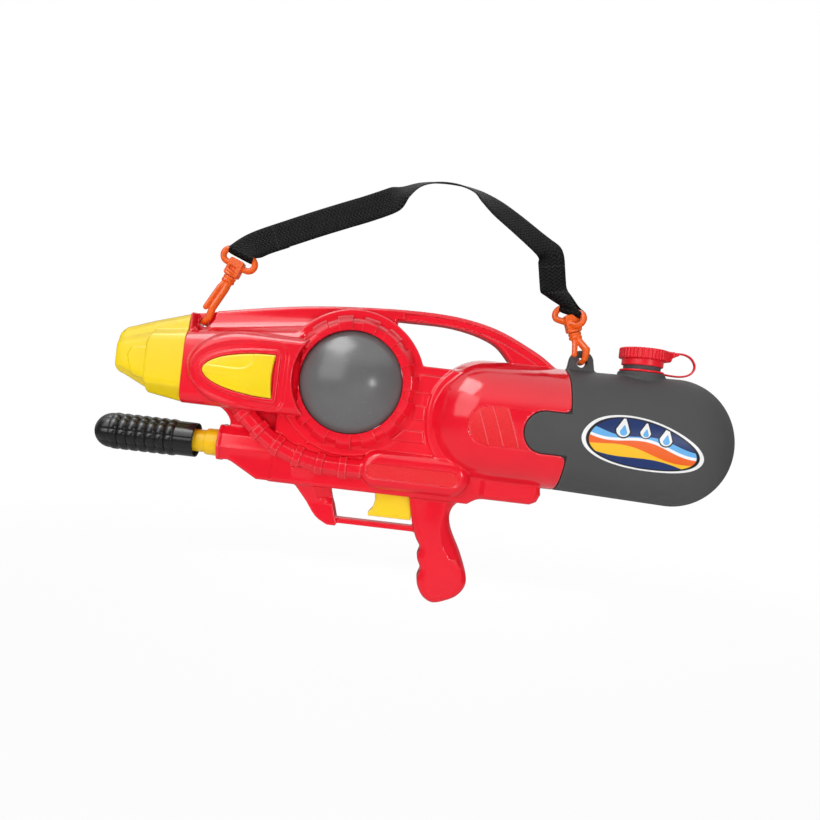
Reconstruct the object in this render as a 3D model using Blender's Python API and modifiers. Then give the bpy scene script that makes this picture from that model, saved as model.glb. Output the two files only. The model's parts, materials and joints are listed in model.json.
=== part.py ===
"""Hand-pumped water squirter with a rear tank and a shoulder strap.

Sizes are in millimetres from a drawing datum: X runs along the barrel towards the tank, Y across from the
left side to the right, and Z up. The datum lies in the split plane of the housing, near the tank's axis.
The finished model stands with its origin in the middle of the grip.
"""
import math

import bmesh
import bpy
from mathutils import Matrix, Vector

MM = 0.001

# Origin of the finished part on the drawing, and general clearances and walls
GRIP_X = 44.0
GRIP_Z = -130.0
GAP = 0.3
WALL = 2.5
SIDE_WALL = 5.0

# Housing: front shroud and its cowl
SHROUD_FRONT = -206.0
SHROUD_REAR = -97.0
SHROUD_BOTTOM = -17.0
SHROUD_FRONT_TOP = 46.0
SHROUD_REAR_TOP = 60.0
SHROUD_HALF = 27.0
COWL_NOSE = -197.0
COWL_NOSE_LENGTH = 50.0
COWL_Z = 17.0
COWL_HEIGHT = 33.5
COWL_HALF = 38.0
COWL_REAR = -92.0

# Housing: top ridge, which is the carry handle further back
RIDGE_HALF = 11.0
RIDGE_FOOT = 35.0
EYE_X = -195.0
EYE_Z = 57.0
EYE_RADIUS = 4.6
EYE_HALF = 4.5

# Pressure chamber and the ring around it
CHAMBER_X = -54.0
CHAMBER_Z = 18.0
CHAMBER_RADIUS = 45.0
CHAMBER_WAIST = 28.0
CHAMBER_DOME = 20.0
CHAMBER_WALL = 2.5
RING_RADIUS = 57.0
RING_HALF = 33.0
RING_BLOCKS = 15
RING_NOTCH_DEPTH = 3.0
RING_NOTCH_WIDTH = 8.0
DISC_RADIUS = 67.0
DISC_HALF = 26.0
RIDGE_CREST = CHAMBER_Z + DISC_RADIUS
COWL_CUT = CHAMBER_RADIUS + 5.5

# Housing: middle plate, lower body, side pad and keel
PLATE_FRONT = -88.0
PLATE_REAR = 70.0
PLATE_TOP = 40.0
PLATE_BOTTOM = -30.0
PLATE_HALF = 25.0
BODY_BOTTOM = -77.5
BODY_TOP = -15.0
BODY_HALF = 24.0
BODY_FRONT = -118.0
CHIN_HALF = 17.0
CHIN_REAR = -100.0
CHIN_STEP = 0.6
BODY_REAR = 72.0
HOSE_RELIEF_Y = 20.5
HOSE_RELIEF_RADIUS = 8.0
PAD_HALF = 30.5
PAD_LEFT = -38.0
PAD_RIGHT = 59.0
PAD_Z = -55.0
PAD_RADIUS = 17.0
KEEL_HALF = 14.0

# Housing: rear hood and its cut-out for the tank
HOOD_FRONT = 16.0
HOOD_SHOULDER = 62.0
HOOD_REAR = 136.0
HOOD_RADIUS = 55.0
HOOD_WALL = 3.0
TANK_Z = -2.0
WIDTH_RATIO = 0.945
SLOT_CENTRE_X = 115.8
SLOT_Z = -5.5
SLOT_RADIUS = 18.4

# Trigger guard and grip
GUARD_HALF = 10.0
GUARD_BAR_TOP = -104.5
GUARD_BAR_BOTTOM = -109.5
GRIP_HALF = 14.0

# Nose cone, nozzle and barrel
NOSE_FRONT = -269.0
NOSE_WALL = 2.5
NOZZLE_RADIUS = 10.0
NOZZLE_LENGTH = 19.0
NOZZLE_RECESS = 0.5
ORIFICE_RADIUS = 2.2
BARREL_RADIUS = 8.0
BARREL_BORE = 5.0
SOCKET_DEPTH = 5.0

# Side inserts
INSERT_NOSE = -182.0
INSERT_REAR = -120.0
INSERT_Z = 14.6
INSERT_HEIGHT = 18.9
INSERT_DEPTH = 3.0
INSERT_PROUD = 0.6

# Pump: handle, rod, gland, cylinder and piston
PUMP_Z = -50.0
PUMP_MOUTH = -168.0
PUMP_TUBE_RADIUS = 15.0
CYLINDER_RADIUS = 12.8
CYLINDER_BORE = 11.6
CYLINDER_END = -60.0
ROD_RADIUS = 10.2
GLAND_FRONT = -181.0
GLAND_FLANGE = 12.2
GLAND_SLEEVE = 8.0
PISTON_X = -101.0
PISTON_LENGTH = 9.0
PISTON_RADIUS = 11.1
SEAL_WIRE = 1.2
HANDLE_TIP = -283.0
HANDLE_RIM = -190.0
HANDLE_RADIUS = 16.4
HANDLE_BULGE = 1.0
HANDLE_MOUTH = 14.2
HANDLE_RECESS = 24.0
HANDLE_RIBS = 7
HANDLE_RIB_PITCH = 8.4
ROD_SEAT = 42.0

# Valve stem, trigger and trigger spring
STEM_RADIUS = 3.0
STEM_HEAD_RADIUS = 7.0
STEM_HEAD_LENGTH = 3.0
STEM_BUTTON_RADIUS = 6.0
STEM_BUTTON = 3.0
STEM_TAIL = 9.0
TRIGGER_HALF = 6.0
TRIGGER_TRAVEL = 8.0
TRIGGER_CLEARANCE = 1.5
TRIGGER_FRONT = -24.0
TRIGGER_TIP_Z = -99.5
TRIGGER_ARM_X = 11.0
TRIGGER_ARM = 6.0
TRIGGER_ARM_HALF = 7.0
TRIGGER_FOOT_HALF = 9.0
TRIGGER_BACK = 12.0
SPRING_RADIUS = 5.0
SPRING_WIRE = 0.8
SPRING_TURNS = 6
SPRING_WALL_X = 45.2
SPRING_WALL = 3.0
SPRING_WALL_HALF = 13.0

# Tank, filler neck, cap and tether
TANK_FRONT = 84.0
TANK_SHOULDER = 240.0
TANK_END = 293.0
TANK_RADIUS = 58.0
TANK_WALL = 2.4
LUG_HALF = 4.5
LUG_EYE_X = 150.0
LUG_EYE_Z = 61.0
NECK_X = 206.0
NECK_RADIUS = 16.5
NECK_BORE = 12.5
NECK_TOP = 76.0
NECK_FLANGE_RADIUS = 21.0
NECK_FLANGE_TOP = 58.0
CAP_SKIRT_BOTTOM = 64.0
CAP_RIM_BOTTOM = 70.0
CAP_TOP = 81.0
CAP_ROOF = 3.0
CAP_SKIRT_RADIUS = 18.4
CAP_RIM_RADIUS = 21.3
CAP_PIN_REACH = 27.0
CAP_PIN_RADIUS = 1.8
TETHER_WIRE = 1.1
TETHER_RING = 2.6
TETHER_RING_HEIGHT = 1.8

# Hoses
HOSE_RADIUS = 4.5
OUTLET_Y = 14.0
OUTLET_Z = -28.0
SPOUT_LENGTH = 8.0
DELIVERY_X = -69.0
DELIVERY_RADIUS = 4.0

# Strap and swivel clips
STRAP_WIDTH = 24.0
STRAP_THICKNESS = 1.6
FRONT_RING = (-171.0, 118.0)
REAR_RING = (135.5, 104.0)
CLIP_WIRE = 2.6
CLIP_RING_WIRE = 2.4
CLIP_RING_HALF = 15.5
CLIP_RING_RISE = 6.0
BARREL_TOP = 7.0
SWIVEL_RADIUS = 5.4
SWIVEL_LENGTH = 10.0
SWIVEL_PIN = 2.6
COLLAR_LENGTH = 6.0

# Housing screws: X and Z of each, and how far its boss reaches to each side
SCREW_PLACES = (
    (-171.0, 60.0, RIDGE_HALF - 1.0),
    (-195.0, -7.0, SHROUD_HALF - 2.0),
    (-112.0, RIDGE_CREST - 15.0, RIDGE_HALF - 1.0),
    (-6.0, -28.0, PLATE_HALF - 1.0),
    (34.0, -14.0, 37.5),
    (20.0, RIDGE_CREST - 1.0, RIDGE_HALF - 1.0),
    (-78.0, -95.0, GUARD_HALF - 1.0),
    (46.0, -148.0, GRIP_HALF - 1.0),
)
BOSS_RADIUS = 4.6
SCREW_RADIUS = 1.2
SCREW_HEAD_RADIUS = 2.8
SCREW_HEAD = 2.2
SCREW_SEAT = 5.0
SCREW_TIP = -7.0

RED = (0.85, 0.02, 0.04)
YELLOW = (0.95, 0.66, 0.03)
GREY = (0.09, 0.09, 0.09)
BLACK = (0.02, 0.02, 0.02)
ORANGE = (0.90, 0.16, 0.02)
WHITE = (0.80, 0.80, 0.78)
STEEL = (0.60, 0.60, 0.62)


def clear_scene():
    """Start from an empty scene, with one collection for the parts and one for the working shapes."""
    for old in list(bpy.data.objects):
        bpy.data.objects.remove(old, do_unlink=True)
    made = []
    for name in ("water_squirter", "working_shapes"):
        collection = bpy.data.collections.new(name)
        bpy.context.scene.collection.children.link(collection)
        made.append(collection)
    return made


PARTS, WORKING = clear_scene()


def working_object(name, data):
    """A shape on the way to a part."""
    shape = bpy.data.objects.new(name, data)
    WORKING.objects.link(shape)
    return shape


def from_bmesh(name, bm):
    """Merge a bmesh's doubles, point its faces outwards and make it an object."""
    bmesh.ops.remove_doubles(bm, verts=bm.verts, dist=1e-6)
    bmesh.ops.recalc_face_normals(bm, faces=bm.faces)
    mesh = bpy.data.meshes.new(name)
    bm.to_mesh(mesh)
    bm.free()
    return working_object(name, mesh)


def evaluated_mesh(shape):
    """The mesh of an object with its modifiers applied."""
    bpy.context.view_layer.update()
    depsgraph = bpy.context.evaluated_depsgraph_get()
    return bpy.data.meshes.new_from_object(shape.evaluated_get(depsgraph))


def mesh_of_curve(curve, matrix=None):
    """A curve object turned into a welded mesh object, placed by a matrix."""
    bm = bmesh.new()
    bm.from_mesh(evaluated_mesh(curve))
    if matrix is not None:
        bm.transform(matrix)
    bpy.data.objects.remove(curve)
    return from_bmesh("from_curve", bm)


def prism(outline, y_low, y_high, bevel=0.0, segments=1):
    """An outline in X and Z, extruded across from y_low to y_high, with its long edges rounded."""
    data = bpy.data.curves.new("outline", "CURVE")
    data.dimensions = "2D"
    data.fill_mode = "BOTH"
    data.extrude = (y_high - y_low) / 2 * MM
    spline = data.splines.new("POLY")
    spline.points.add(len(outline) - 1)
    for point, (x, z) in zip(spline.points, outline):
        point.co = (x * MM, z * MM, 0, 1)
    spline.use_cyclic_u = True
    upright = Matrix.Translation((0, (y_low + y_high) / 2 * MM, 0)) @ Matrix.Rotation(math.pi / 2, 4, "X")
    shape = mesh_of_curve(working_object("outline", data), upright)
    if bevel:
        bm = bmesh.new()
        bm.from_mesh(shape.data)
        bmesh.ops.dissolve_limit(bm, angle_limit=0.01, verts=bm.verts, edges=bm.edges)
        rims = [edge for edge in bm.edges if abs(edge.verts[0].co.y - edge.verts[1].co.y) < 1e-7]
        bmesh.ops.bevel(bm, geom=rims, offset=bevel * MM, segments=segments, profile=0.5,
                        affect="EDGES", clamp_overlap=True)
        bmesh.ops.recalc_face_normals(bm, faces=bm.faces)
        bm.to_mesh(shape.data)
        bm.free()
    return shape


def box(low, high):
    """A box between two corners."""
    bm = bmesh.new()
    bmesh.ops.create_cube(bm, size=1.0)
    size = [(b - a) * MM for a, b in zip(low, high)]
    middle = [(a + b) / 2 * MM for a, b in zip(low, high)]
    bm.transform(Matrix.Translation(middle) @ Matrix.Diagonal((*size, 1.0)))
    return from_bmesh("box", bm)


def rod(start, end, radius, segments=24):
    """A cylinder between two points."""
    start, end = Vector(start) * MM, Vector(end) * MM
    along = end - start
    bm = bmesh.new()
    bmesh.ops.create_cone(bm, cap_ends=True, segments=segments, radius1=radius * MM, radius2=radius * MM,
                          depth=along.length)
    turn = along.to_track_quat("Z", "Y").to_matrix().to_4x4()
    bm.transform(Matrix.Translation((start + end) / 2) @ turn)
    return from_bmesh("rod", bm)


TURN_ABOUT = {
    "X": Matrix(((0, 0, 1, 0), (0, 1, 0, 0), (-1, 0, 0, 0), (0, 0, 0, 1))),
    "Y": Matrix(((1, 0, 0, 0), (0, 0, 1, 0), (0, -1, 0, 0), (0, 0, 0, 1))),
    "Z": Matrix.Identity(4),
}


def turned(profile, axis, centre, steps=24, closed=False, ratio=1.0):
    """A profile of (radius, place along the axis) spun about an axis through centre.

    A closed profile makes a ring. The ratio narrows the turned shape across, along Y.
    """
    mesh = bpy.data.meshes.new("profile")
    links = [(i, i + 1) for i in range(len(profile) - 1)]
    if closed:
        links.append((len(profile) - 1, 0))
    mesh.from_pydata([(r * MM, 0, h * MM) for r, h in profile], links, [])
    shape = working_object("turned", mesh)
    screw = shape.modifiers.new("turn", "SCREW")
    screw.axis = "Z"
    screw.angle = 2 * math.pi
    screw.steps = steps
    screw.render_steps = steps
    screw.use_merge_vertices = True
    screw.merge_threshold = 1e-6
    bm = bmesh.new()
    bm.from_mesh(evaluated_mesh(shape))
    bpy.data.objects.remove(shape)
    place = Matrix.Translation(Vector(centre) * MM) @ Matrix.Diagonal((1, ratio, 1, 1))
    bm.transform(place @ TURN_ABOUT[axis])
    bmesh.ops.dissolve_degenerate(bm, dist=1e-7, edges=bm.edges)
    return from_bmesh("turned", bm)


def smooth_path(points, steps, closed=False):
    """Points on a smooth curve that passes through the given ones, with a few steps between each two."""
    route = [Vector(p) for p in points]
    count = len(route)
    path = []
    for i in range(count if closed else count - 1):
        before = route[i - 1] if closed or i > 0 else route[0] * 2 - route[1]
        after = route[(i + 2) % count] if closed or i + 2 < count else route[-1] * 2 - route[-2]
        a, b = route[i], route[(i + 1) % count]
        for step in range(steps):
            t = step / steps
            bend = (2 * before - 5 * a + 4 * b - after) * t ** 2
            path.append(0.5 * (2 * a + (b - before) * t + bend + (3 * a - before - 3 * b + after) * t ** 3))
    if not closed:
        path.append(route[-1])
    return path


def wire(points, radius, closed=False, resolution=1, steps=3):
    """A round wire or tube on a smooth curve through points."""
    path = smooth_path(points, steps, closed)
    data = bpy.data.curves.new("wire", "CURVE")
    data.dimensions = "3D"
    data.bevel_depth = radius * MM
    data.bevel_resolution = resolution
    data.use_fill_caps = not closed
    spline = data.splines.new("POLY")
    spline.points.add(len(path) - 1)
    for point, place in zip(spline.points, path):
        point.co = (*(place * MM), 1)
    spline.use_cyclic_u = closed
    return mesh_of_curve(working_object("wire", data))


def loft(sections):
    """A closed skin over a row of sections with equally many corners, with flat ends."""
    bm = bmesh.new()
    rows = [[bm.verts.new(Vector(p) * MM) for p in section] for section in sections]
    corners = len(rows[0])
    for near, far in zip(rows, rows[1:]):
        for i in range(corners):
            j = (i + 1) % corners
            bm.faces.new((near[i], near[j], far[j], far[i]))
    bm.faces.new(rows[0])
    bm.faces.new(rows[-1])
    return from_bmesh("loft", bm)


def combine(target, others, operation):
    """Boolean of a shape with others, which are used up."""
    for other in others:
        modifier = target.modifiers.new("combine", "BOOLEAN")
        modifier.operation = operation
        modifier.solver = "EXACT"
        modifier.object = other
    mesh = evaluated_mesh(target)
    target.modifiers.clear()
    target.data = mesh
    for other in others:
        bpy.data.objects.remove(other)
    return target


def join(target, *others):
    """Target and the other shapes as one solid."""
    return combine(target, others, "UNION")


def cut(target, *others):
    """Target with the other shapes taken away."""
    return combine(target, others, "DIFFERENCE")


def copy_of(shape):
    """A second shape with the same mesh."""
    return working_object("copy", shape.data.copy())


def arc(x, z, radius, start, end, steps):
    """Points on a circle from one angle to another, in degrees from +X towards +Z."""
    turns = [math.radians(start + (end - start) * i / steps) for i in range(steps + 1)]
    return [(x + radius * math.cos(t), z + radius * math.sin(t)) for t in turns]


def inset(outline, distance):
    """An outline moved inwards by a distance, each corner along its mitre."""
    area = sum(a[0] * b[1] - b[0] * a[1] for a, b in zip(outline, outline[1:] + outline[:1]))
    side = math.copysign(1.0, area)
    moved = []
    for before, here, after in zip(outline[-1:] + outline[:-1], outline, outline[1:] + outline[:1]):
        arrive = (Vector(here) - Vector(before)).normalized()
        leave = (Vector(after) - Vector(here)).normalized()
        inward = Vector((-arrive.y, arrive.x)) * side + Vector((-leave.y, leave.x)) * side
        moved.append(tuple(Vector(here) + inward * (2 * distance / inward.length_squared)))
    return moved


def bullet(nose, length, rear, z, height, steps=8):
    """A bullet outline: half an ellipse at the nose, then straight to the rear."""
    turns = [math.pi * (0.5 + i / (2 * steps)) for i in range(2 * steps + 1)]
    front = [(nose + length * (1 + math.cos(t)), z + height * math.sin(t)) for t in turns]
    return [(rear, z + height)] + front + [(rear, z - height)]


def stadium(left, right, z, radius, steps=6):
    """A bar outline with round ends."""
    return arc(right - radius, z, radius, -90, 90, steps) + arc(left + radius, z, radius, 90, 270, steps)


MATERIALS = {}


def material(name, colour, roughness, metallic=0.0):
    """A Principled material, made once for each name."""
    if name not in MATERIALS:
        made = bpy.data.materials.new(name)
        made.use_nodes = True
        shader = made.node_tree.nodes["Principled BSDF"]
        shader.inputs["Base Color"].default_value = (*colour, 1.0)
        shader.inputs["Roughness"].default_value = roughness
        shader.inputs["Metallic"].default_value = metallic
        MATERIALS[name] = made
    return MATERIALS[name]


def empty(name, place, parent=None):
    """An empty that carries parts, placed on the drawing."""
    carrier = bpy.data.objects.new(name, None)
    PARTS.objects.link(carrier)
    carrier.parent = parent
    carrier.location = Vector(place) * MM
    return carrier


def finish(shape, name, colour, roughness, carrier, metallic=0.0):
    """Name a shape, give it its own material and hang it on its carrier, where it was drawn."""
    WORKING.objects.unlink(shape)
    PARTS.objects.link(shape)
    shape.name = name
    shape.data.name = name
    shape.data.materials.clear()
    shape.data.materials.append(material(name, colour, roughness, metallic))
    shape.data.shade_smooth()
    shape.data.set_sharp_from_angle(angle=math.radians(35))
    shape.parent = carrier
    place = Vector((0, 0, 0))
    above = carrier
    while above is not SQUIRTER:
        place -= above.location
        above = above.parent
    shape.location = place
    return shape


SQUIRTER = empty("squirter", (-GRIP_X, 0, -GRIP_Z))

RIDGE_TOP = ((SHROUD_FRONT, 64.0), (-100.0, RIDGE_CREST - 2.5), (0.0, RIDGE_CREST + 4.5),
             (60.0, RIDGE_CREST - 1.0), (105.0, 66.0), (130.0, 50.0))
HAND_ARCH = ((86.0, 52.0), (66.0, 69.5), (30.0, RIDGE_CREST - 6.0), (-20.0, RIDGE_CREST - 6.0))
GRIP_FRONT = ((8.0, -62.0), (8.0, -76.0), (13.0, -99.0), (22.0, -118.0), (22.5, -131.0), (25.5, -141.0),
              (23.5, -150.0), (31.0, -165.0))
GRIP_BUTT = ((40.0, -170.0), (60.0, -162.0))
GRIP_BACK = ((68.0, -150.0), (63.0, -129.0), (49.0, -103.0), (48.0, -88.0), (60.0, -74.0), (60.0, -62.0))


def ridge_outline(front):
    """Top ridge from the shroud's front to the hood; further back it arches over the hand opening."""
    top = [(max(x, front), z) for x, z in smooth_path(RIDGE_TOP, 3)]
    arch = [tuple(p) for p in smooth_path(HAND_ARCH, 3)]
    return top + [(104.0, 44.0)] + arch + [(HAND_ARCH[-1][0], RIDGE_FOOT), (front, RIDGE_FOOT)]


def shroud_outline():
    """Side of the front shroud, under the ridge."""
    return [(SHROUD_FRONT, SHROUD_BOTTOM), (SHROUD_REAR, SHROUD_BOTTOM),
            (SHROUD_REAR, SHROUD_REAR_TOP), (SHROUD_FRONT, SHROUD_FRONT_TOP)]


def chin_outline():
    """Narrow front of the lower body: pump tube, sloping chin and the gusset up to the shroud."""
    return [(PUMP_MOUTH, PUMP_Z - PUMP_TUBE_RADIUS), (PUMP_MOUTH + 16.0, PUMP_Z - PUMP_TUBE_RADIUS),
            (PUMP_MOUTH + 38.0, BODY_BOTTOM + CHIN_STEP), (CHIN_REAR, BODY_BOTTOM + CHIN_STEP),
            (CHIN_REAR, BODY_TOP - CHIN_STEP), (PUMP_MOUTH + 22.0, BODY_TOP - CHIN_STEP),
            (PUMP_MOUTH + 8.0, BODY_TOP - 6.0), (PUMP_MOUTH, PUMP_Z + PUMP_TUBE_RADIUS)]


def body_outline():
    """Wide part of the lower body, behind the chin."""
    return [(BODY_FRONT, BODY_BOTTOM), (BODY_REAR - 12.0, BODY_BOTTOM), (BODY_REAR, BODY_BOTTOM + 8.0),
            (BODY_REAR, BODY_TOP), (BODY_FRONT, BODY_TOP)]


HOSE_RELIEF = ((-152.0, -14.0), (-140.0, -24.0), (-122.0, -39.0), (-102.0, -49.0), (-80.0, -55.0), (-58.0, -57.0),
               (-30.0, -57.0))


def hose_relief(side):
    """Moulded hose that runs down the body's side from under the shroud into the side pad."""
    return wire([(x, side * HOSE_RELIEF_Y, z) for x, z in HOSE_RELIEF], HOSE_RELIEF_RADIUS, resolution=2, steps=2)


def guard_outline():
    """Trigger guard: a raked front post and a bar along to the grip."""
    return [(-99.0, -65.0), (-93.5, -80.0), (-84.0, -92.0), (-74.0, -106.0), (-63.0, GUARD_BAR_BOTTOM - 2.5),
            (-55.0, GUARD_BAR_BOTTOM - 2.5), (-52.0, GUARD_BAR_BOTTOM), (20.0, GUARD_BAR_BOTTOM),
            (20.0, GUARD_BAR_TOP), (-56.0, GUARD_BAR_TOP), (-63.0, -80.0), (-60.0, -65.0)]


def grip_outline():
    """Grip with finger waves in front and a hollow for the web of the thumb behind."""
    front = [tuple(p) for p in smooth_path(GRIP_FRONT, 2)]
    back = [tuple(p) for p in smooth_path(GRIP_BACK, 2)]
    return front + list(GRIP_BUTT) + back


def keel_outline():
    """Keel under the hood, with a round rear end."""
    return [(58.0, -50.0), (58.0, -72.0), (116.0, -72.0), (122.0, -69.0), (125.0, -62.0), (122.0, -50.0)]


def plate_outline():
    """Middle plate between the chamber ring and the hood."""
    return [(PLATE_FRONT, PLATE_BOTTOM), (PLATE_REAR, PLATE_BOTTOM),
            (PLATE_REAR, PLATE_TOP), (PLATE_FRONT, PLATE_TOP)]


def quarter(steps):
    """Angles of a quarter turn."""
    return [math.pi / 2 * i / steps for i in range(steps + 1)]


def hood_profile(shrink, rear):
    """Half section of the hood: an elliptical dome in front, then straight to the rear."""
    radius = HOOD_RADIUS - shrink
    length = HOOD_SHOULDER - HOOD_FRONT - shrink
    dome = [(radius * math.sin(t), HOOD_SHOULDER - length * math.cos(t)) for t in quarter(6)]
    return dome + [(radius, rear), (0, rear)]


def hood_solid(shrink, rear):
    """The hood's form as one turned solid, a little narrower than high."""
    return turned(hood_profile(shrink, rear), "X", (0, 0, TANK_Z), steps=28, ratio=WIDTH_RATIO)


def slot_outline(clearance, rear):
    """The round-ended cut-out in the hood's side, which the tank's tongue fills."""
    radius = SLOT_RADIUS - clearance
    front = arc(SLOT_CENTRE_X, SLOT_Z, radius, 90, 270, 10)
    return [(rear, SLOT_Z + radius)] + front + [(rear, SLOT_Z - radius)]


def cowl_outline(shrink=0.0):
    """Bullet-shaped cowl on the shroud's side."""
    return bullet(COWL_NOSE + shrink, COWL_NOSE_LENGTH - shrink, COWL_REAR, COWL_Z, COWL_HEIGHT - shrink)


def insert_outline(grow):
    """Bullet-shaped yellow insert in the cowl."""
    length = INSERT_REAR - INSERT_NOSE
    return bullet(INSERT_NOSE - grow, length, INSERT_REAR + grow, INSERT_Z, INSERT_HEIGHT + grow)


def across(x, z, radius, y_low, y_high, segments=32):
    """A cylinder across the housing."""
    return rod((x, y_low, z), (x, y_high, z), radius, segments)


def housing_solid():
    """Outer form of the whole housing as one solid."""
    cowl = prism(cowl_outline(), -COWL_HALF, COWL_HALF, bevel=7.0, segments=2)
    cowl = cut(cowl, across(CHAMBER_X, CHAMBER_Z, COWL_CUT, -60, 60, 36))
    return join(
        prism(ridge_outline(SHROUD_FRONT), -RIDGE_HALF, RIDGE_HALF, bevel=2.0),
        prism(shroud_outline(), -SHROUD_HALF, SHROUD_HALF, bevel=8.0),
        cowl,
        across(CHAMBER_X, CHAMBER_Z, DISC_RADIUS, -DISC_HALF, DISC_HALF, 36),
        across(CHAMBER_X, CHAMBER_Z, RING_RADIUS, -RING_HALF, RING_HALF, 36),
        prism(plate_outline(), -PLATE_HALF, PLATE_HALF),
        prism(chin_outline(), -CHIN_HALF, CHIN_HALF, bevel=3.0),
        prism(body_outline(), -BODY_HALF, BODY_HALF, bevel=3.0),
        hose_relief(-1), hose_relief(1),
        rod((PUMP_MOUTH, 0, PUMP_Z), (-110, 0, PUMP_Z), PUMP_TUBE_RADIUS),
        prism(stadium(PAD_LEFT, PAD_RIGHT, PAD_Z, PAD_RADIUS), -PAD_HALF, PAD_HALF, bevel=4.0),
        prism(keel_outline(), -KEEL_HALF, KEEL_HALF, bevel=3.0),
        prism(guard_outline(), -GUARD_HALF, GUARD_HALF),
        prism(grip_outline(), -GRIP_HALF, GRIP_HALF, bevel=4.0, segments=2),
        hood_solid(0.0, HOOD_REAR),
    )


def housing_cavity():
    """Everything inside the housing's walls as one solid."""
    inside_cowl = COWL_HALF - SIDE_WALL
    pad = stadium(PAD_LEFT + WALL, PAD_RIGHT - WALL, PAD_Z, PAD_RADIUS - WALL)
    return join(
        prism(inset(ridge_outline(EYE_X + 18.0), WALL), WALL - RIDGE_HALF, RIDGE_HALF - WALL),
        prism(inset(shroud_outline(), WALL), WALL - SHROUD_HALF + 4.0, SHROUD_HALF - 4.0 - WALL),
        cut(prism(cowl_outline(SIDE_WALL), -inside_cowl, inside_cowl),
            across(CHAMBER_X, CHAMBER_Z, COWL_CUT + WALL, -60, 60, 36)),
        across(CHAMBER_X, CHAMBER_Z, DISC_RADIUS - WALL, WALL - DISC_HALF, DISC_HALF - WALL, 36),
        prism(inset(plate_outline(), WALL), WALL - PLATE_HALF, PLATE_HALF - WALL),
        prism(inset(chin_outline(), WALL), WALL - CHIN_HALF, CHIN_HALF - WALL),
        prism(inset(body_outline(), WALL), WALL - BODY_HALF, BODY_HALF - WALL),
        prism(pad, WALL - PAD_HALF, PAD_HALF - WALL),
        prism(inset(grip_outline(), WALL), WALL - GRIP_HALF, GRIP_HALF - WALL),
        hood_solid(HOOD_WALL, HOOD_REAR + 10.0),
    )


def ring_notches():
    """Recessed squares around the chamber ring, on both faces, where the cowl leaves it free."""
    notches = []
    for side in (-1, 1):
        for i in range(RING_BLOCKS):
            angle = 2 * math.pi * (i + 0.5) / RING_BLOCKS
            if CHAMBER_X + RING_RADIUS * math.cos(angle) < COWL_REAR:
                continue
            turn = Matrix.Rotation(angle, 4, "Y")
            low = side * (RING_HALF - RING_NOTCH_DEPTH)
            high = side * (RING_HALF + 1.0)
            notch = box((CHAMBER_RADIUS + 2.5, min(low, high), -RING_NOTCH_WIDTH / 2),
                        (RING_RADIUS + 0.5, max(low, high), RING_NOTCH_WIDTH / 2))
            notch.data.transform(Matrix.Translation(Vector((CHAMBER_X, 0, CHAMBER_Z)) * MM) @ turn)
            notches.append(notch)
    return notches


def eye_pockets():
    """Hollows beside the front strap eye, which leave a thin web for the hook."""
    outline = [(EYE_X - 8.5, EYE_Z + 16.0), (EYE_X - 8.5, EYE_Z - 3.0), (EYE_X - 2.0, EYE_Z - 8.5),
               (EYE_X + 6.0, EYE_Z - 6.5), (EYE_X + 11.0, EYE_Z + 3.0), (EYE_X + 14.0, EYE_Z + 16.0)]
    return [prism(outline, EYE_HALF, 40), prism(outline, -40, -EYE_HALF)]


def housing_shell():
    """The hollow housing with its openings, before it is split."""
    shell = cut(housing_solid(), housing_cavity())
    web = box((SPRING_WALL_X, -60, CHAMBER_Z - SPRING_WALL_HALF),
              (SPRING_WALL_X + SPRING_WALL, 60, CHAMBER_Z + SPRING_WALL_HALF))
    web = combine(web, [hood_solid(1.0, HOOD_REAR)], "INTERSECT")
    bosses = [across(x, z, BOSS_RADIUS, -reach, reach, 16) for x, z, reach in SCREW_PLACES]
    shell = join(shell, web, *bosses)
    pocket = COWL_HALF + INSERT_PROUD - INSERT_DEPTH - GAP
    pump_bore = rod((PUMP_MOUTH - 5, 0, PUMP_Z), (CYLINDER_END, 0, PUMP_Z), CYLINDER_RADIUS + GAP)
    barrel_hole = rod((SHROUD_FRONT - 5, 0, CHAMBER_Z), (SHROUD_FRONT + 10, 0, CHAMBER_Z),
                      BARREL_RADIUS + GAP)
    slot_rear = TRIGGER_BACK + TRIGGER_TRAVEL + TRIGGER_CLEARANCE
    slot_front = TRIGGER_FRONT - TRIGGER_CLEARANCE
    trigger_slot = box((slot_front, -TRIGGER_HALF - GAP, TRIGGER_TIP_Z - TRIGGER_CLEARANCE),
                       (slot_rear, TRIGGER_HALF + GAP, BODY_BOTTOM + WALL + 1.0))
    return cut(
        shell,
        across(CHAMBER_X, CHAMBER_Z, CHAMBER_RADIUS + GAP, -60, 60, 36),
        prism(slot_outline(0.0, HOOD_REAR + 5.0), -70, 70),
        pump_bore, barrel_hole, trigger_slot,
        prism(insert_outline(GAP), pocket, 60), prism(insert_outline(GAP), -60, -pocket),
        across(EYE_X, EYE_Z, EYE_RADIUS, -20, 20, 20),
        *eye_pockets(), *ring_notches(),
    )


def make_housing():
    """Split the shell into its two halves; the screws go in from the right."""
    left = housing_shell()
    right = copy_of(left)
    far = 400.0
    pilots = [across(x, z, SCREW_RADIUS + GAP, SCREW_TIP - 1.0, 5, 12) for x, z, reach in SCREW_PLACES]
    left = cut(left, box((-far, -GAP / 2, -far), (far, far, far)), *pilots)
    shanks = [across(x, z, SCREW_RADIUS + GAP, -5, SCREW_SEAT + 1.0, 12) for x, z, reach in SCREW_PLACES]
    heads = [across(x, z, SCREW_HEAD_RADIUS + GAP, SCREW_SEAT, 60, 16) for x, z, reach in SCREW_PLACES]
    right = cut(right, box((-far, -far, -far), (far, GAP / 2, far)), *shanks, *heads)
    finish(left, "housing_left", RED, 0.22, SQUIRTER)
    finish(right, "housing_right", RED, 0.22, SQUIRTER)


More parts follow.
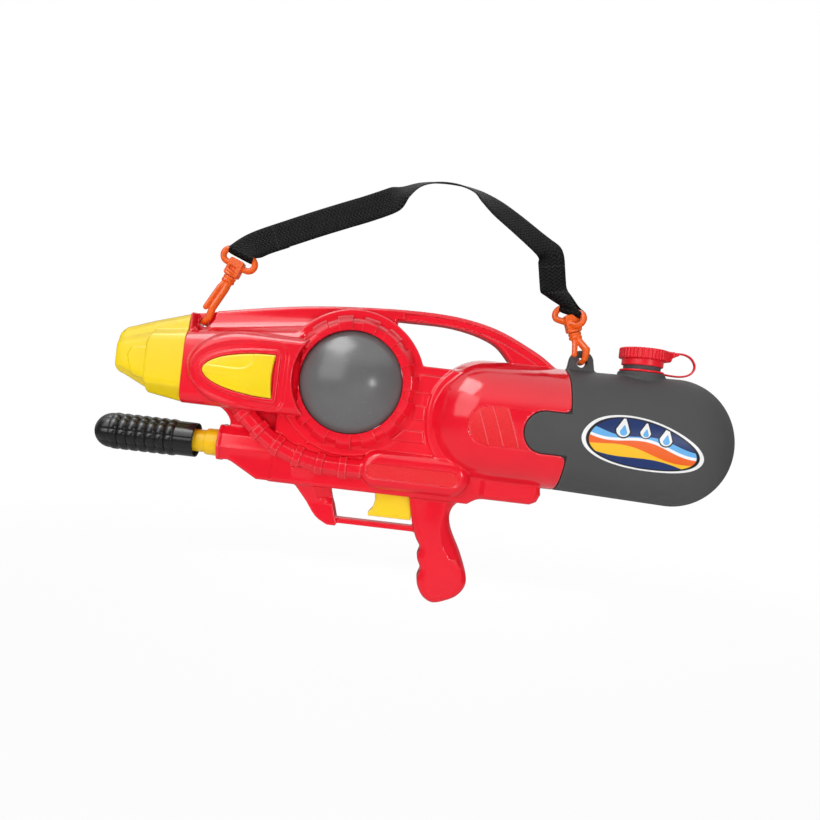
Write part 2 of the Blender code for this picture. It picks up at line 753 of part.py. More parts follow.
def make_screws():
    """Pan-headed screws that hold the halves together."""
    seat = SCREW_SEAT + GAP
    profile = [(0, seat + SCREW_HEAD), (SCREW_HEAD_RADIUS, seat + SCREW_HEAD), (SCREW_HEAD_RADIUS, seat),
               (SCREW_RADIUS, seat), (SCREW_RADIUS, SCREW_TIP), (0, SCREW_TIP)]
    for number, (x, z, reach) in enumerate(SCREW_PLACES, start=1):
        screw = turned(profile, "Y", (x, 0, z), steps=12)
        finish(screw, f"housing_screw_{number}", STEEL, 0.35, SQUIRTER, metallic=1.0)


NOSE_SECTIONS = (
    # place behind the nose's front, lowest and highest Z, half width, corner chamfer
    (0.0, 5.0, 40.0, 13.0, 5.0),
    (6.0, 3.0, 45.0, 15.0, 8.0),
    (29.0, -7.5, 52.5, 20.0, 9.0),
    (33.0, -11.5, 53.5, 22.0, 9.0),
)
NOSE_REAR = (-17.0, 63.5, 24.5, 10.0)


def nose_section(x, low, high, half, chamfer, shrink=0.0):
    """One eight-cornered section of the nose cone, with its walls moved in by shrink."""
    low, high, half = low + shrink, high - shrink, half - shrink
    inner = half - chamfer
    return [(x, -half, low + chamfer), (x, -inner, low), (x, inner, low), (x, half, low + chamfer),
            (x, half, high - chamfer), (x, inner, high), (x, -inner, high), (x, -half, high - chamfer)]


def make_nose():
    """Hollow nose cone against the shroud's front, with the nozzle in its front wall."""
    rear = SHROUD_FRONT - GAP
    rows = [(NOSE_FRONT + back, *size) for back, *size in NOSE_SECTIONS] + [(rear, *NOSE_REAR)]
    hollow = [nose_section(*row, shrink=NOSE_WALL) for row in rows]
    hollow[0] = [(x + NOSE_WALL, y, z) for x, y, z in hollow[0]]
    hollow[-1] = [(x + 5.0, y, z) for x, y, z in hollow[-1]]
    nose = cut(loft([nose_section(*row) for row in rows]), loft(hollow))
    hole = rod((NOSE_FRONT - 5, 0, CHAMBER_Z), (NOSE_FRONT + 10, 0, CHAMBER_Z), NOZZLE_RADIUS + GAP)
    finish(cut(nose, hole), "nose_cone", YELLOW, 0.25, SQUIRTER)

    front = NOSE_FRONT + NOZZLE_RECESS
    back = front + NOZZLE_LENGTH
    step = back - SOCKET_DEPTH
    nozzle = turned([(ORIFICE_RADIUS, front), (NOZZLE_RADIUS, front), (NOZZLE_RADIUS, back),
                     (BARREL_RADIUS + GAP, back), (BARREL_RADIUS + GAP, step), (ORIFICE_RADIUS, step)],
                    "X", (0, 0, CHAMBER_Z), steps=24, closed=True)
    finish(nozzle, "nozzle", WHITE, 0.35, SQUIRTER)

    barrel_front = step + GAP
    barrel_rear = CHAMBER_X - CHAMBER_RADIUS - SOCKET_DEPTH + GAP
    barrel = turned([(BARREL_BORE, barrel_front), (BARREL_RADIUS, barrel_front), (BARREL_RADIUS, barrel_rear),
                     (BARREL_BORE, barrel_rear)], "X", (0, 0, CHAMBER_Z), steps=24, closed=True)
    finish(barrel, "barrel_tube", WHITE, 0.35, SQUIRTER)


def make_inserts():
    """Yellow inserts that sit in pockets of the cowl, a little proud of it."""
    outer = COWL_HALF + INSERT_PROUD
    for name, low, high in (("side_insert_left", -outer, INSERT_DEPTH - outer),
                            ("side_insert_right", outer - INSERT_DEPTH, outer)):
        finish(prism(insert_outline(0.0), low, high), name, YELLOW, 0.25, SQUIRTER)


def chamber_profile(shrink):
    """Half section of the chamber across the housing: a short waist between two domes."""
    radius, dome = CHAMBER_RADIUS - shrink, CHAMBER_DOME - shrink
    right = [(radius * math.cos(t), CHAMBER_WAIST + dome * math.sin(t)) for t in quarter(4)]
    left = [(r, -y) for r, y in reversed(right)]
    return left + right


def make_chamber():
    """Pressure chamber with sockets for the barrel, the valve stem and the pump's delivery tube."""
    front = CHAMBER_X - CHAMBER_RADIUS
    rear = CHAMBER_X + CHAMBER_RADIUS
    socket_front = front - 2 * SOCKET_DEPTH + 1.0
    foot = CHAMBER_Z - CHAMBER_RADIUS - 3.0
    chamber = join(
        turned(chamber_profile(0.0), "Y", (CHAMBER_X, 0, CHAMBER_Z), steps=30),
        rod((socket_front, 0, CHAMBER_Z), (front + 8, 0, CHAMBER_Z), BARREL_RADIUS + 3.0),
        rod((rear - 8, 0, CHAMBER_Z), (rear + 7, 0, CHAMBER_Z), STEM_RADIUS + 5.0),
        rod((DELIVERY_X, 0, foot), (DELIVERY_X, 0, foot + 15), DELIVERY_RADIUS + 2.3, 20),
    )
    tube_top = foot + 3.5
    socket_end = front - SOCKET_DEPTH + 2 * GAP
    chamber = cut(
        chamber,
        turned(chamber_profile(CHAMBER_WALL), "Y", (CHAMBER_X, 0, CHAMBER_Z), steps=18),
        rod((socket_front - 5, 0, CHAMBER_Z), (socket_end, 0, CHAMBER_Z), BARREL_RADIUS + GAP, 24),
        rod((front - 2 * SOCKET_DEPTH, 0, CHAMBER_Z), (front + 20, 0, CHAMBER_Z), BARREL_BORE, 24),
        rod((rear - 20, 0, CHAMBER_Z), (rear + 20, 0, CHAMBER_Z), STEM_RADIUS + GAP, 16),
        rod((DELIVERY_X, 0, foot - 5), (DELIVERY_X, 0, tube_top), DELIVERY_RADIUS + GAP, 20),
        rod((DELIVERY_X, 0, foot - 5), (DELIVERY_X, 0, foot + 25), DELIVERY_RADIUS - 1.5, 16),
    )
    finish(chamber, "pressure_chamber", GREY, 0.2, SQUIRTER)

    floor = PUMP_Z + CYLINDER_RADIUS + 1.0
    disc = floor + GAP
    valve = rod((DELIVERY_X, 0, disc), (DELIVERY_X, 0, disc + 1.0), DELIVERY_RADIUS - 0.2, 20)
    finish(valve, "outlet_valve", BLACK, 0.6, SQUIRTER)
    low, high = disc + 1.0 + GAP, tube_top - GAP
    tube = turned([(DELIVERY_RADIUS - 1.5, high), (DELIVERY_RADIUS, high), (DELIVERY_RADIUS, low),
                   (DELIVERY_RADIUS - 1.5, low)], "Z", (DELIVERY_X, 0, 0), steps=20, closed=True)
    finish(tube, "delivery_tube", WHITE, 0.4, SQUIRTER)


def make_pump():
    """Pump cylinder and gland in the housing; handle, rod, piston and seal slide together."""
    bore_end = CYLINDER_END - 4.0
    mouth = PUMP_MOUTH + 1.0
    spigot = CYLINDER_END + SPOUT_LENGTH
    floor = PUMP_Z + CYLINDER_RADIUS + 1.0
    cylinder = join(
        rod((mouth, 0, PUMP_Z), (CYLINDER_END, 0, PUMP_Z), CYLINDER_RADIUS),
        rod((CYLINDER_END - 2, 0, PUMP_Z), (spigot, 0, PUMP_Z), HOSE_RADIUS, 20),
        rod((DELIVERY_X, 0, PUMP_Z), (DELIVERY_X, 0, floor + 3.5), DELIVERY_RADIUS + 2.3, 20),
    )
    cylinder = cut(
        cylinder,
        rod((mouth - 5, 0, PUMP_Z), (bore_end, 0, PUMP_Z), CYLINDER_BORE),
        rod((bore_end - 5, 0, PUMP_Z), (spigot + 5, 0, PUMP_Z), HOSE_RADIUS - 2.0, 16),
        rod((DELIVERY_X, 0, floor), (DELIVERY_X, 0, floor + 9), DELIVERY_RADIUS + GAP, 20),
        rod((DELIVERY_X, 0, PUMP_Z), (DELIVERY_X, 0, floor + 1), DELIVERY_RADIUS - 1.5, 16),
    )
    finish(cylinder, "pump_cylinder", WHITE, 0.35, SQUIRTER)
    inlet = rod((bore_end - GAP - 1.5, 0, PUMP_Z), (bore_end - GAP, 0, PUMP_Z), HOSE_RADIUS + 1.5, 20)
    finish(inlet, "inlet_valve", BLACK, 0.6, SQUIRTER)

    bore = ROD_RADIUS + GAP
    shoulder = mouth - GAP
    gland = turned([(bore, GLAND_FRONT), (GLAND_FLANGE, GLAND_FRONT), (GLAND_FLANGE, shoulder),
                    (CYLINDER_BORE - GAP, shoulder), (CYLINDER_BORE - GAP, shoulder + GLAND_SLEEVE),
                    (bore, shoulder + GLAND_SLEEVE)], "X", (0, 0, PUMP_Z), closed=True)
    finish(gland, "pump_gland", YELLOW, 0.3, SQUIRTER)

    slide = empty("pump_slide", (HANDLE_RIM, 0, PUMP_Z), SQUIRTER)
    rod_front = HANDLE_RIM - HANDLE_RECESS - ROD_SEAT
    tip = HANDLE_TIP + HANDLE_RADIUS
    nose = [(HANDLE_RADIUS * math.sin(t), tip - HANDLE_RADIUS * math.cos(t)) for t in quarter(6)]
    ribs = []
    for i in range(HANDLE_RIBS * 2 + 1):
        swell = HANDLE_BULGE * abs(math.sin(math.pi * i / 2))
        ribs.append((HANDLE_RADIUS - 0.6 + swell, tip + 1.0 + HANDLE_RIB_PITCH * i / 2))
    recess = HANDLE_RIM - HANDLE_RECESS
    back = [(HANDLE_RADIUS, HANDLE_RIM), (HANDLE_MOUTH, HANDLE_RIM), (HANDLE_MOUTH, recess),
            (ROD_RADIUS + GAP, recess), (ROD_RADIUS + GAP, rod_front - GAP), (0, rod_front - GAP)]
    handle = turned(nose + ribs + back, "X", (0, 0, PUMP_Z), steps=18)
    finish(handle, "pump_handle", BLACK, 0.4, slide)
    pump_rod = rod((rod_front, 0, PUMP_Z), (PISTON_X - GAP, 0, PUMP_Z), ROD_RADIUS)
    finish(pump_rod, "pump_rod", YELLOW, 0.3, slide)

    middle = PISTON_X + PISTON_LENGTH / 2
    groove = CYLINDER_BORE - 2 * SEAL_WIRE - 2.4 * GAP
    lip = SEAL_WIRE + GAP
    piston_end = PISTON_X + PISTON_LENGTH
    piston = turned([(0, PISTON_X), (PISTON_RADIUS, PISTON_X), (PISTON_RADIUS, middle - lip),
                     (groove, middle - lip), (groove, middle + lip), (PISTON_RADIUS, middle + lip),
                     (PISTON_RADIUS, piston_end), (0, piston_end)], "X", (0, 0, PUMP_Z))
    finish(piston, "piston", WHITE, 0.4, slide)
    core = groove + GAP + SEAL_WIRE
    seal = turned(arc(core, middle, SEAL_WIRE, 0, 300, 5), "X", (0, 0, PUMP_Z), steps=24, closed=True)
    finish(seal, "piston_seal", BLACK, 0.7, slide)


def make_trigger():
    """Trigger with an arm up to the valve stem; the spring behind the stem's button pushes both forward."""
    slide = empty("trigger_pull", (0, 0, BODY_BOTTOM), SQUIRTER)
    foot = BODY_BOTTOM + WALL + GAP
    top = BODY_BOTTOM + 1.5
    front = [(TRIGGER_FRONT, top), (TRIGGER_FRONT + 1.5, top - 11.0),
             (TRIGGER_FRONT - 3.0, TRIGGER_TIP_Z + 3.5), (TRIGGER_FRONT, TRIGGER_TIP_Z)]
    blade = prism(front + [(TRIGGER_BACK, TRIGGER_TIP_Z), (TRIGGER_BACK, top)], -TRIGGER_HALF, TRIGGER_HALF)
    arm_rear = TRIGGER_ARM_X + TRIGGER_ARM
    root_front, root_back = TRIGGER_FRONT + 2.0, TRIGGER_BACK - 4.0
    root = prism([(root_front, top - 2.0), (root_back, top - 2.0), (root_back, foot + 2.0),
                  (root_front, foot + 2.0)], 1.0 - TRIGGER_HALF, TRIGGER_HALF - 1.0)
    plate = box((TRIGGER_FRONT, -TRIGGER_FOOT_HALF, foot), (arm_rear, TRIGGER_FOOT_HALF, foot + 4.0))
    arm = box((TRIGGER_ARM_X, -TRIGGER_ARM_HALF, foot + 1.0), (arm_rear, TRIGGER_ARM_HALF, CHAMBER_Z + 7.0))
    fork = box((TRIGGER_ARM_X - 5, -STEM_RADIUS - GAP, CHAMBER_Z - STEM_RADIUS - GAP),
               (arm_rear + 5, STEM_RADIUS + GAP, CHAMBER_Z + 20))
    trigger = cut(join(blade, root, plate, arm), fork)
    finish(trigger, "trigger", YELLOW, 0.25, slide)

    inner = CHAMBER_RADIUS - CHAMBER_WALL
    head = CHAMBER_X - math.sqrt(inner ** 2 - STEM_HEAD_RADIUS ** 2) + 3 * GAP
    button = arm_rear + GAP
    after = button + STEM_BUTTON
    tail = after + STEM_TAIL
    head_end = head + STEM_HEAD_LENGTH
    stem = turned([(0, head), (STEM_HEAD_RADIUS, head), (STEM_HEAD_RADIUS, head_end), (STEM_RADIUS, head_end),
                   (STEM_RADIUS, button), (STEM_BUTTON_RADIUS, button), (STEM_BUTTON_RADIUS, after),
                   (STEM_RADIUS, after), (STEM_RADIUS, tail), (0, tail)],
                  "X", (0, 0, CHAMBER_Z), steps=20)
    finish(stem, "valve_stem", WHITE, 0.35, slide)

    start = after + GAP + SPRING_WIRE
    end = SPRING_WALL_X - GAP - SPRING_WIRE
    count = SPRING_TURNS * 8
    coil = []
    for i in range(count + 1):
        turn = 2 * math.pi * i / 8
        coil.append((start + (end - start) * i / count, SPRING_RADIUS * math.cos(turn),
                     CHAMBER_Z + SPRING_RADIUS * math.sin(turn)))
    finish(wire(coil, SPRING_WIRE, steps=1), "trigger_spring", STEEL, 0.3, SQUIRTER, metallic=1.0)


def tank_profile(shrink):
    """Half section of the tank: flat front, straight sides that widen to the shoulder, an elliptical end."""
    front = TANK_FRONT + shrink
    wide, narrow = TANK_RADIUS - shrink, HOOD_RADIUS - shrink
    length = TANK_END - TANK_SHOULDER - shrink
    end = [(wide * math.cos(t), TANK_SHOULDER + length * math.sin(t)) for t in quarter(6)]
    return [(0, front), (narrow - 14.0, front), (narrow - 4.0, front + 6.0), (narrow, front + 14.0),
            (narrow, HOOD_REAR + 6.0)] + end


def make_tank():
    """Tank that plugs into the hood, with its tongues, strap lug, filler neck, outlet and pickup tube."""
    tank = turned(tank_profile(0.0), "X", (0, 0, TANK_Z), steps=28, ratio=WIDTH_RATIO)
    rim = HOOD_REAR + GAP
    tongue = slot_outline(GAP, rim)
    plug = HOOD_RADIUS - HOOD_WALL - GAP
    zone = prism([(60.0, 80.0), (rim, 80.0)] + tongue + [(rim, -80.0), (60.0, -80.0)], -80, 80)
    core = turned([(0, 50), (plug, 50), (plug, 160), (0, 160)], "X", (0, 0, TANK_Z), steps=28,
                  ratio=WIDTH_RATIO)
    tank = cut(tank, cut(zone, core))
    spout = TANK_FRONT - SPOUT_LENGTH
    lug = [(138.0, 48.0), (139.5, 64.0)] + arc(LUG_EYE_X, LUG_EYE_Z, 11.0, 160, 20, 8) + [(163.0, 48.0)]
    tank = join(
        tank,
        prism(lug, -LUG_HALF, LUG_HALF),
        rod((NECK_X, 0, 45), (NECK_X, 0, NECK_FLANGE_TOP), NECK_FLANGE_RADIUS),
        rod((NECK_X, 0, 45), (NECK_X, 0, NECK_TOP), NECK_RADIUS),
        rod((spout, OUTLET_Y, OUTLET_Z), (TANK_FRONT + 2, OUTLET_Y, OUTLET_Z), HOSE_RADIUS, 20),
    )
    bore = HOSE_RADIUS - 2.0
    inside = HOOD_WALL + GAP + TANK_WALL
    tank = cut(
        tank,
        turned(tank_profile(inside), "X", (0, 0, TANK_Z), steps=28, ratio=WIDTH_RATIO),
        rod((NECK_X, 0, 30), (NECK_X, 0, NECK_TOP + 5), NECK_BORE),
        rod((spout - 5, OUTLET_Y, OUTLET_Z), (TANK_FRONT + 20, OUTLET_Y, OUTLET_Z), bore, 16),
        across(LUG_EYE_X, LUG_EYE_Z, EYE_RADIUS, -20, 20, 20),
    )
    finish(tank, "water_tank", GREY, 0.55, SQUIRTER)

    start = TANK_FRONT + inside + GAP
    low = TANK_Z - TANK_RADIUS + inside + HOSE_RADIUS
    route = [(start, OUTLET_Y, OUTLET_Z), (start + 18, OUTLET_Y, OUTLET_Z - 2), (start + 70, 8, low + 5),
             (TANK_SHOULDER - 4, 0, low)]
    finish(wire(route, HOSE_RADIUS - 1.0, resolution=2), "pickup_tube", WHITE, 0.45, SQUIRTER)
    first = CYLINDER_END + SPOUT_LENGTH + GAP
    last = spout - GAP
    route = [(first, 0, PUMP_Z), (first + 7, 0, PUMP_Z), (first + 15, 3, PUMP_Z), (-22, 12, PUMP_Z + 2),
             (10, 16, -44), (45, 15, -33), (last - 10, OUTLET_Y, OUTLET_Z), (last, OUTLET_Y, OUTLET_Z)]
    finish(wire(route, HOSE_RADIUS, resolution=2), "suction_hose", WHITE, 0.5, SQUIRTER)


def make_cap():
    """Cap on the filler neck with its seal, and the tether that turns with it."""
    turn = empty("cap_turn", (NECK_X, 0, NECK_FLANGE_TOP), SQUIRTER)
    lift = empty("cap_lift", (0, 0, CAP_TOP - NECK_FLANGE_TOP), turn)
    bore = NECK_RADIUS + GAP + 0.1
    roof = CAP_TOP - CAP_ROOF
    cap = turned([(0, CAP_TOP), (CAP_RIM_RADIUS - 1, CAP_TOP), (CAP_RIM_RADIUS, CAP_TOP - 1),
                  (CAP_RIM_RADIUS, CAP_RIM_BOTTOM), (CAP_SKIRT_RADIUS, CAP_RIM_BOTTOM),
                  (CAP_SKIRT_RADIUS, CAP_SKIRT_BOTTOM), (bore, CAP_SKIRT_BOTTOM), (bore, roof), (0, roof)],
                 "Z", (NECK_X, 0, 0), steps=32)
    pin = NECK_X + CAP_PIN_REACH
    bracket = box((NECK_X + CAP_SKIRT_RADIUS, -3.2, CAP_TOP - 1.6), (pin + 2.5, 3.2, CAP_TOP + 1.2))
    peg = rod((pin, 0, CAP_RIM_BOTTOM + 1.0), (pin, 0, CAP_TOP), CAP_PIN_RADIUS, 12)
    finish(join(cap, bracket, peg), "tank_cap", RED, 0.3, lift)
    seal_low = NECK_TOP + GAP
    seal = turned([(NECK_BORE, seal_low), (NECK_RADIUS, seal_low), (NECK_RADIUS, roof - GAP),
                   (NECK_BORE, roof - GAP)], "Z", (NECK_X, 0, 0), steps=24, closed=True)
    finish(seal, "cap_seal", BLACK, 0.7, lift)

    ring_low = NECK_FLANGE_TOP + GAP
    ring_out = bore + TETHER_RING
    ring_top = ring_low + TETHER_RING_HEIGHT
    ring = turned([(bore, ring_low), (ring_out, ring_low), (ring_out, ring_top), (bore, ring_top)],
                  "Z", (NECK_X, 0, 0), steps=24, closed=True)
    eyelet_z = CAP_TOP - 1.6 - GAP - TETHER_WIRE
    eyelet_r = CAP_PIN_RADIUS + GAP + TETHER_WIRE
    eyelet = turned(arc(eyelet_r, eyelet_z, TETHER_WIRE, 0, 315, 7), "Z", (pin, 0, 0), steps=12, closed=True)
    start = NECK_X + ring_out - 0.8
    middle = (ring_low + ring_top) / 2
    loop = wire([(pin + eyelet_r, 0, eyelet_z), (pin + 11, 0, eyelet_z + 1), (pin + 18, 0, eyelet_z - 3),
                 (pin + 20.5, 0, eyelet_z - 9), (pin + 17, 0, middle + 3), (pin + 8, 0, middle - 0.3),
                 (start, 0, middle)], TETHER_WIRE)
    finish(join(ring, eyelet, loop), "cap_tether", RED, 0.35, turn)


def clip_frame(ring, eye):
    """Axes of a clip: along it from the ring down to the eye, and sideways in the plane of the side view."""
    along = Vector((eye[0] - ring[0], 0, eye[1] - ring[1]))
    reach = along.length
    along.normalize()
    return along, Vector((-along.z, 0, along.x)), reach


def make_clip(place, ring, eye):
    """Swivel clip: a strap ring with a socket, and a hook that turns in it and passes through the eye."""
    along, side, reach = clip_frame(ring, eye)
    centre = Vector((ring[0], 0, ring[1]))

    def at(t, v, y):
        """Point t along the clip, v sideways and y across."""
        return tuple(centre + along * t + side * v + Vector((0, y, 0)))

    half, rise = CLIP_RING_HALF - CLIP_RING_RISE, CLIP_RING_RISE
    bow = [at(-z, x, 0) for x, z in stadium(-half - rise, half + rise, 0.0, rise, steps=4)]
    end = BARREL_TOP + SWIVEL_LENGTH
    socket = join(wire(bow, CLIP_RING_WIRE, closed=True, steps=2),
                  rod(at(rise - 1, 0, 0), at(end, 0, 0), SWIVEL_RADIUS, 20))
    socket = cut(socket, rod(at(BARREL_TOP + 2, 0, 0), at(end + 5, 0, 0), SWIVEL_PIN + GAP, 16))
    finish(socket, f"{place}_clip_ring", ORANGE, 0.35, SQUIRTER)

    swivel = empty(f"{place}_swivel", at(end, 0, 0), SQUIRTER)
    collar = end + GAP
    front = EYE_HALF + CLIP_WIRE + 1.0
    arm = [at(collar + 3, 0, 0), at(collar + 9, 2.5, -4), at(reach - 13, 3.5, -front),
           at(reach - 4, 2.5, -front), at(reach, 0, -front + 2.5), at(reach, 0, 0),
           at(reach, 0, front - 2), at(reach - 4, 0, front + 0.5)]
    tine = [at(collar + 3, 0, 0), at(collar + 9, -3, -4), at(reach - 14, -7, -front),
            at(reach - 8, -8, -front)]
    hook = join(rod(at(collar, 0, 0), at(collar + COLLAR_LENGTH, 0, 0), SWIVEL_RADIUS, 20),
                rod(at(BARREL_TOP + 3, 0, 0), at(collar + 1, 0, 0), SWIVEL_PIN, 16),
                wire(arm, CLIP_WIRE, steps=3), wire(tine, CLIP_WIRE - 0.5, steps=3))
    finish(hook, f"{place}_clip_hook", ORANGE, 0.35, swivel)


# Strap centre line in the side view, and how far the webbing is turned from face-on, in degrees
STRAP_ROUTE = ((-132.0, 146.0, 0.0), (-78.0, 171.0, 0.0), (-50.0, 185.0, 15.0), (-25.0, 201.0, 60.0),
               (2.0, 209.5, 72.0), (18.0, 209.0, 72.0), (36.0, 203.0, 50.0), (60.0, 190.0, 10.0),
               (85.0, 174.5, 0.0), (108.0, 159.0, 0.0), (118.0, 146.0, 0.0), (122.0, 132.0, 0.0))


def strap_end(ring, eye):
    """Where the strap meets the top bar of a clip ring, and the bar's direction."""
    along, side, reach = clip_frame(ring, eye)
    seat = CLIP_RING_RISE + CLIP_RING_WIRE + 2 * GAP
    return (ring[0] - along.x * seat, ring[1] - along.z * seat, 0.0), side


def make_strap():
    """Shoulder strap: webbing from ring to ring, which turns edge-on at the top of its arch."""
    first, front_bar = strap_end(FRONT_RING, (EYE_X, EYE_Z))
    last, rear_bar = strap_end(REAR_RING, (LUG_EYE_X, LUG_EYE_Z))
    path = smooth_path((first, *STRAP_ROUTE, last), 2)
    sections = []
    for i, (x, z, turn) in enumerate(path):
        ahead, behind = path[min(i + 1, len(path) - 1)], path[max(i - 1, 0)]
        along = Vector((ahead[0] - behind[0], 0, ahead[1] - behind[1])).normalized()
        angle = math.radians(turn)
        face = Vector((-along.z * math.cos(angle), math.sin(angle), along.x * math.cos(angle)))
        if i == 0:
            face = -front_bar
        if i == len(path) - 1:
            face = rear_bar
        width, depth = face * STRAP_WIDTH / 2, along.cross(face) * STRAP_THICKNESS / 2
        middle = Vector((x, 0, z))
        sections.append([middle + width + depth, middle + width - depth,
                         middle - width - depth, middle - width + depth])
    finish(loft(sections), "strap", BLACK, 0.85, SQUIRTER)


make_housing()
make_screws()
make_nose()
make_inserts()
make_chamber()
make_pump()
make_trigger()
make_tank()
make_cap()
make_clip("front", FRONT_RING, (EYE_X, EYE_Z))
make_clip("rear", REAR_RING, (LUG_EYE_X, LUG_EYE_Z))
make_strap()
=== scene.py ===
"""Looks of a hand-pumped water squirter with a rear tank and a shoulder strap.

Pieces are worked out in millimetres on the drawing of the toy, seen from its left side: X runs along the
barrel towards the tank, Y from the left side to the right, and Z up. placed() moves them into the frame.
"""
import json
import math

import bmesh
import bpy
import numpy as np
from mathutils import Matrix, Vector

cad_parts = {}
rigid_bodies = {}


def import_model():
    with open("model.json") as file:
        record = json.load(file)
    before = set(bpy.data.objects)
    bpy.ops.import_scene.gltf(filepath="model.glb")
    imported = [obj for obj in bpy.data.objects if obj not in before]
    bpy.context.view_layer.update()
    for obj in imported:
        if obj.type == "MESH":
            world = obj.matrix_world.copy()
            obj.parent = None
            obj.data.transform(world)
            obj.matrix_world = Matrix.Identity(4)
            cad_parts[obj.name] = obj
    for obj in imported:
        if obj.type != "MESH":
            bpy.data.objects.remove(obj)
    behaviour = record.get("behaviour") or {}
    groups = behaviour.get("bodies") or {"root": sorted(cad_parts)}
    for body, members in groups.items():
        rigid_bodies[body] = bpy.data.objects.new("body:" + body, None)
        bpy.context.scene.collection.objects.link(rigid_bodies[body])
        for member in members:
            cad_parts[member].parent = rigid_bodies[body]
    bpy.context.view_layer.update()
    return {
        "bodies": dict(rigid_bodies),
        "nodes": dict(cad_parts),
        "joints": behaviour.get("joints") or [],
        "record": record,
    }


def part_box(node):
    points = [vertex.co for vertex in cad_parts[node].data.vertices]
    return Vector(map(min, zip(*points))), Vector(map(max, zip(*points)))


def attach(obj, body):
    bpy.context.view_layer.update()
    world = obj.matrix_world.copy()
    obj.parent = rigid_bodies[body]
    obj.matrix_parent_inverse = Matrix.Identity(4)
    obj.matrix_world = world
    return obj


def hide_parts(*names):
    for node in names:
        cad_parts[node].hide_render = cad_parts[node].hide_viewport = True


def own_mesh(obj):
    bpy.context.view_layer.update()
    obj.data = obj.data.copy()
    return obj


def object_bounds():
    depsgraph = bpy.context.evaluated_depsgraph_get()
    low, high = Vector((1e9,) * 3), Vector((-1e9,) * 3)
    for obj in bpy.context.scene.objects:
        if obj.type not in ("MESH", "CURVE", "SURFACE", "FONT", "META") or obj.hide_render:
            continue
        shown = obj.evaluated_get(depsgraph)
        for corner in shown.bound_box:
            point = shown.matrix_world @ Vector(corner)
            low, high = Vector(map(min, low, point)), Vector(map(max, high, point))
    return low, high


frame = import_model()

# The view: a camera about level with the tank's axis on the toy's left side, an arm's length away.
# The toy is tilted in the picture, nose up, so the camera is rolled by that angle.
MM = 0.001
DATUM = np.array((-44.0, 0.0, 130.0))
VIEW_DISTANCE = 640.0
VIEW_ROLL = math.radians(6.7)
SENSOR = 36.0
FOCAL_SHARE = 700.0 / 820.0


def placed(points):
    """Drawing millimetres to metres in the frame, whose origin is the middle of the grip."""
    return (np.asarray(points, dtype=float) + DATUM) * MM


camera_data = bpy.data.cameras.new("view")
camera_data.sensor_width = SENSOR
camera_data.lens = SENSOR * FOCAL_SHARE
camera = bpy.data.objects.new("view", camera_data)
bpy.context.scene.collection.objects.link(camera)
camera.location = placed((0.0, -VIEW_DISTANCE, 0.0))
camera.rotation_euler = (math.pi / 2, -VIEW_ROLL, 0.0)
bpy.context.scene.camera = camera
bpy.context.scene.view_settings.view_transform = "Standard"


# The studio: a pale floor under the hanging toy, a white surround and soft lamps, the largest in front.
# The surround is white only for what the lens sees, and lights the toy at a plain level.
FLOOR_DROP = 0.34
FLOOR_HALF = 30.0
FLOOR_SQUARE = ((-1, -1), (1, -1), (1, 1), (-1, 1))
FLOOR_GREY = (0.92, 0.92, 0.92, 1.0)
FLOOR_WHITE = 0.94
FLOOR_GLOSS, GLOSS_FADE = 0.45, 0.37
LAMPS = (
    # name, place, width, height, power, seen in the gloss, lights what is matt
    ("key_lamp", (-1.10, -1.25, 0.85), 1.4, 1.3, 14.0, True, True),
    ("top_lamp", (-0.70, -0.50, 1.50), 1.0, 0.8, 17.0, True, False),
    ("fill_lamp", (0.40, -1.45, -0.12), 1.0, 0.6, 9.5, False, True),
    ("spot_lamp", (0.75, -1.25, 0.26), 0.12, 0.20, 2.6, True, False),
    ("back_lamp", (0.25, 1.20, 1.10), 1.2, 1.2, 4.0, True, True),
    ("rear_fill", (0.00, 1.60, 0.35), 1.2, 1.2, 8.0, False, True),
)
FULL_WHITE = (1.0, 1.0, 1.0, 1.0)
SURROUND_LIGHT = 0.30
FRONT_LIGHT = 0.28
ROOM_SHADE = 0.06
BACK_WALL, CEILING = 0.34, 1.40
CEILING_SHADE = 0.45


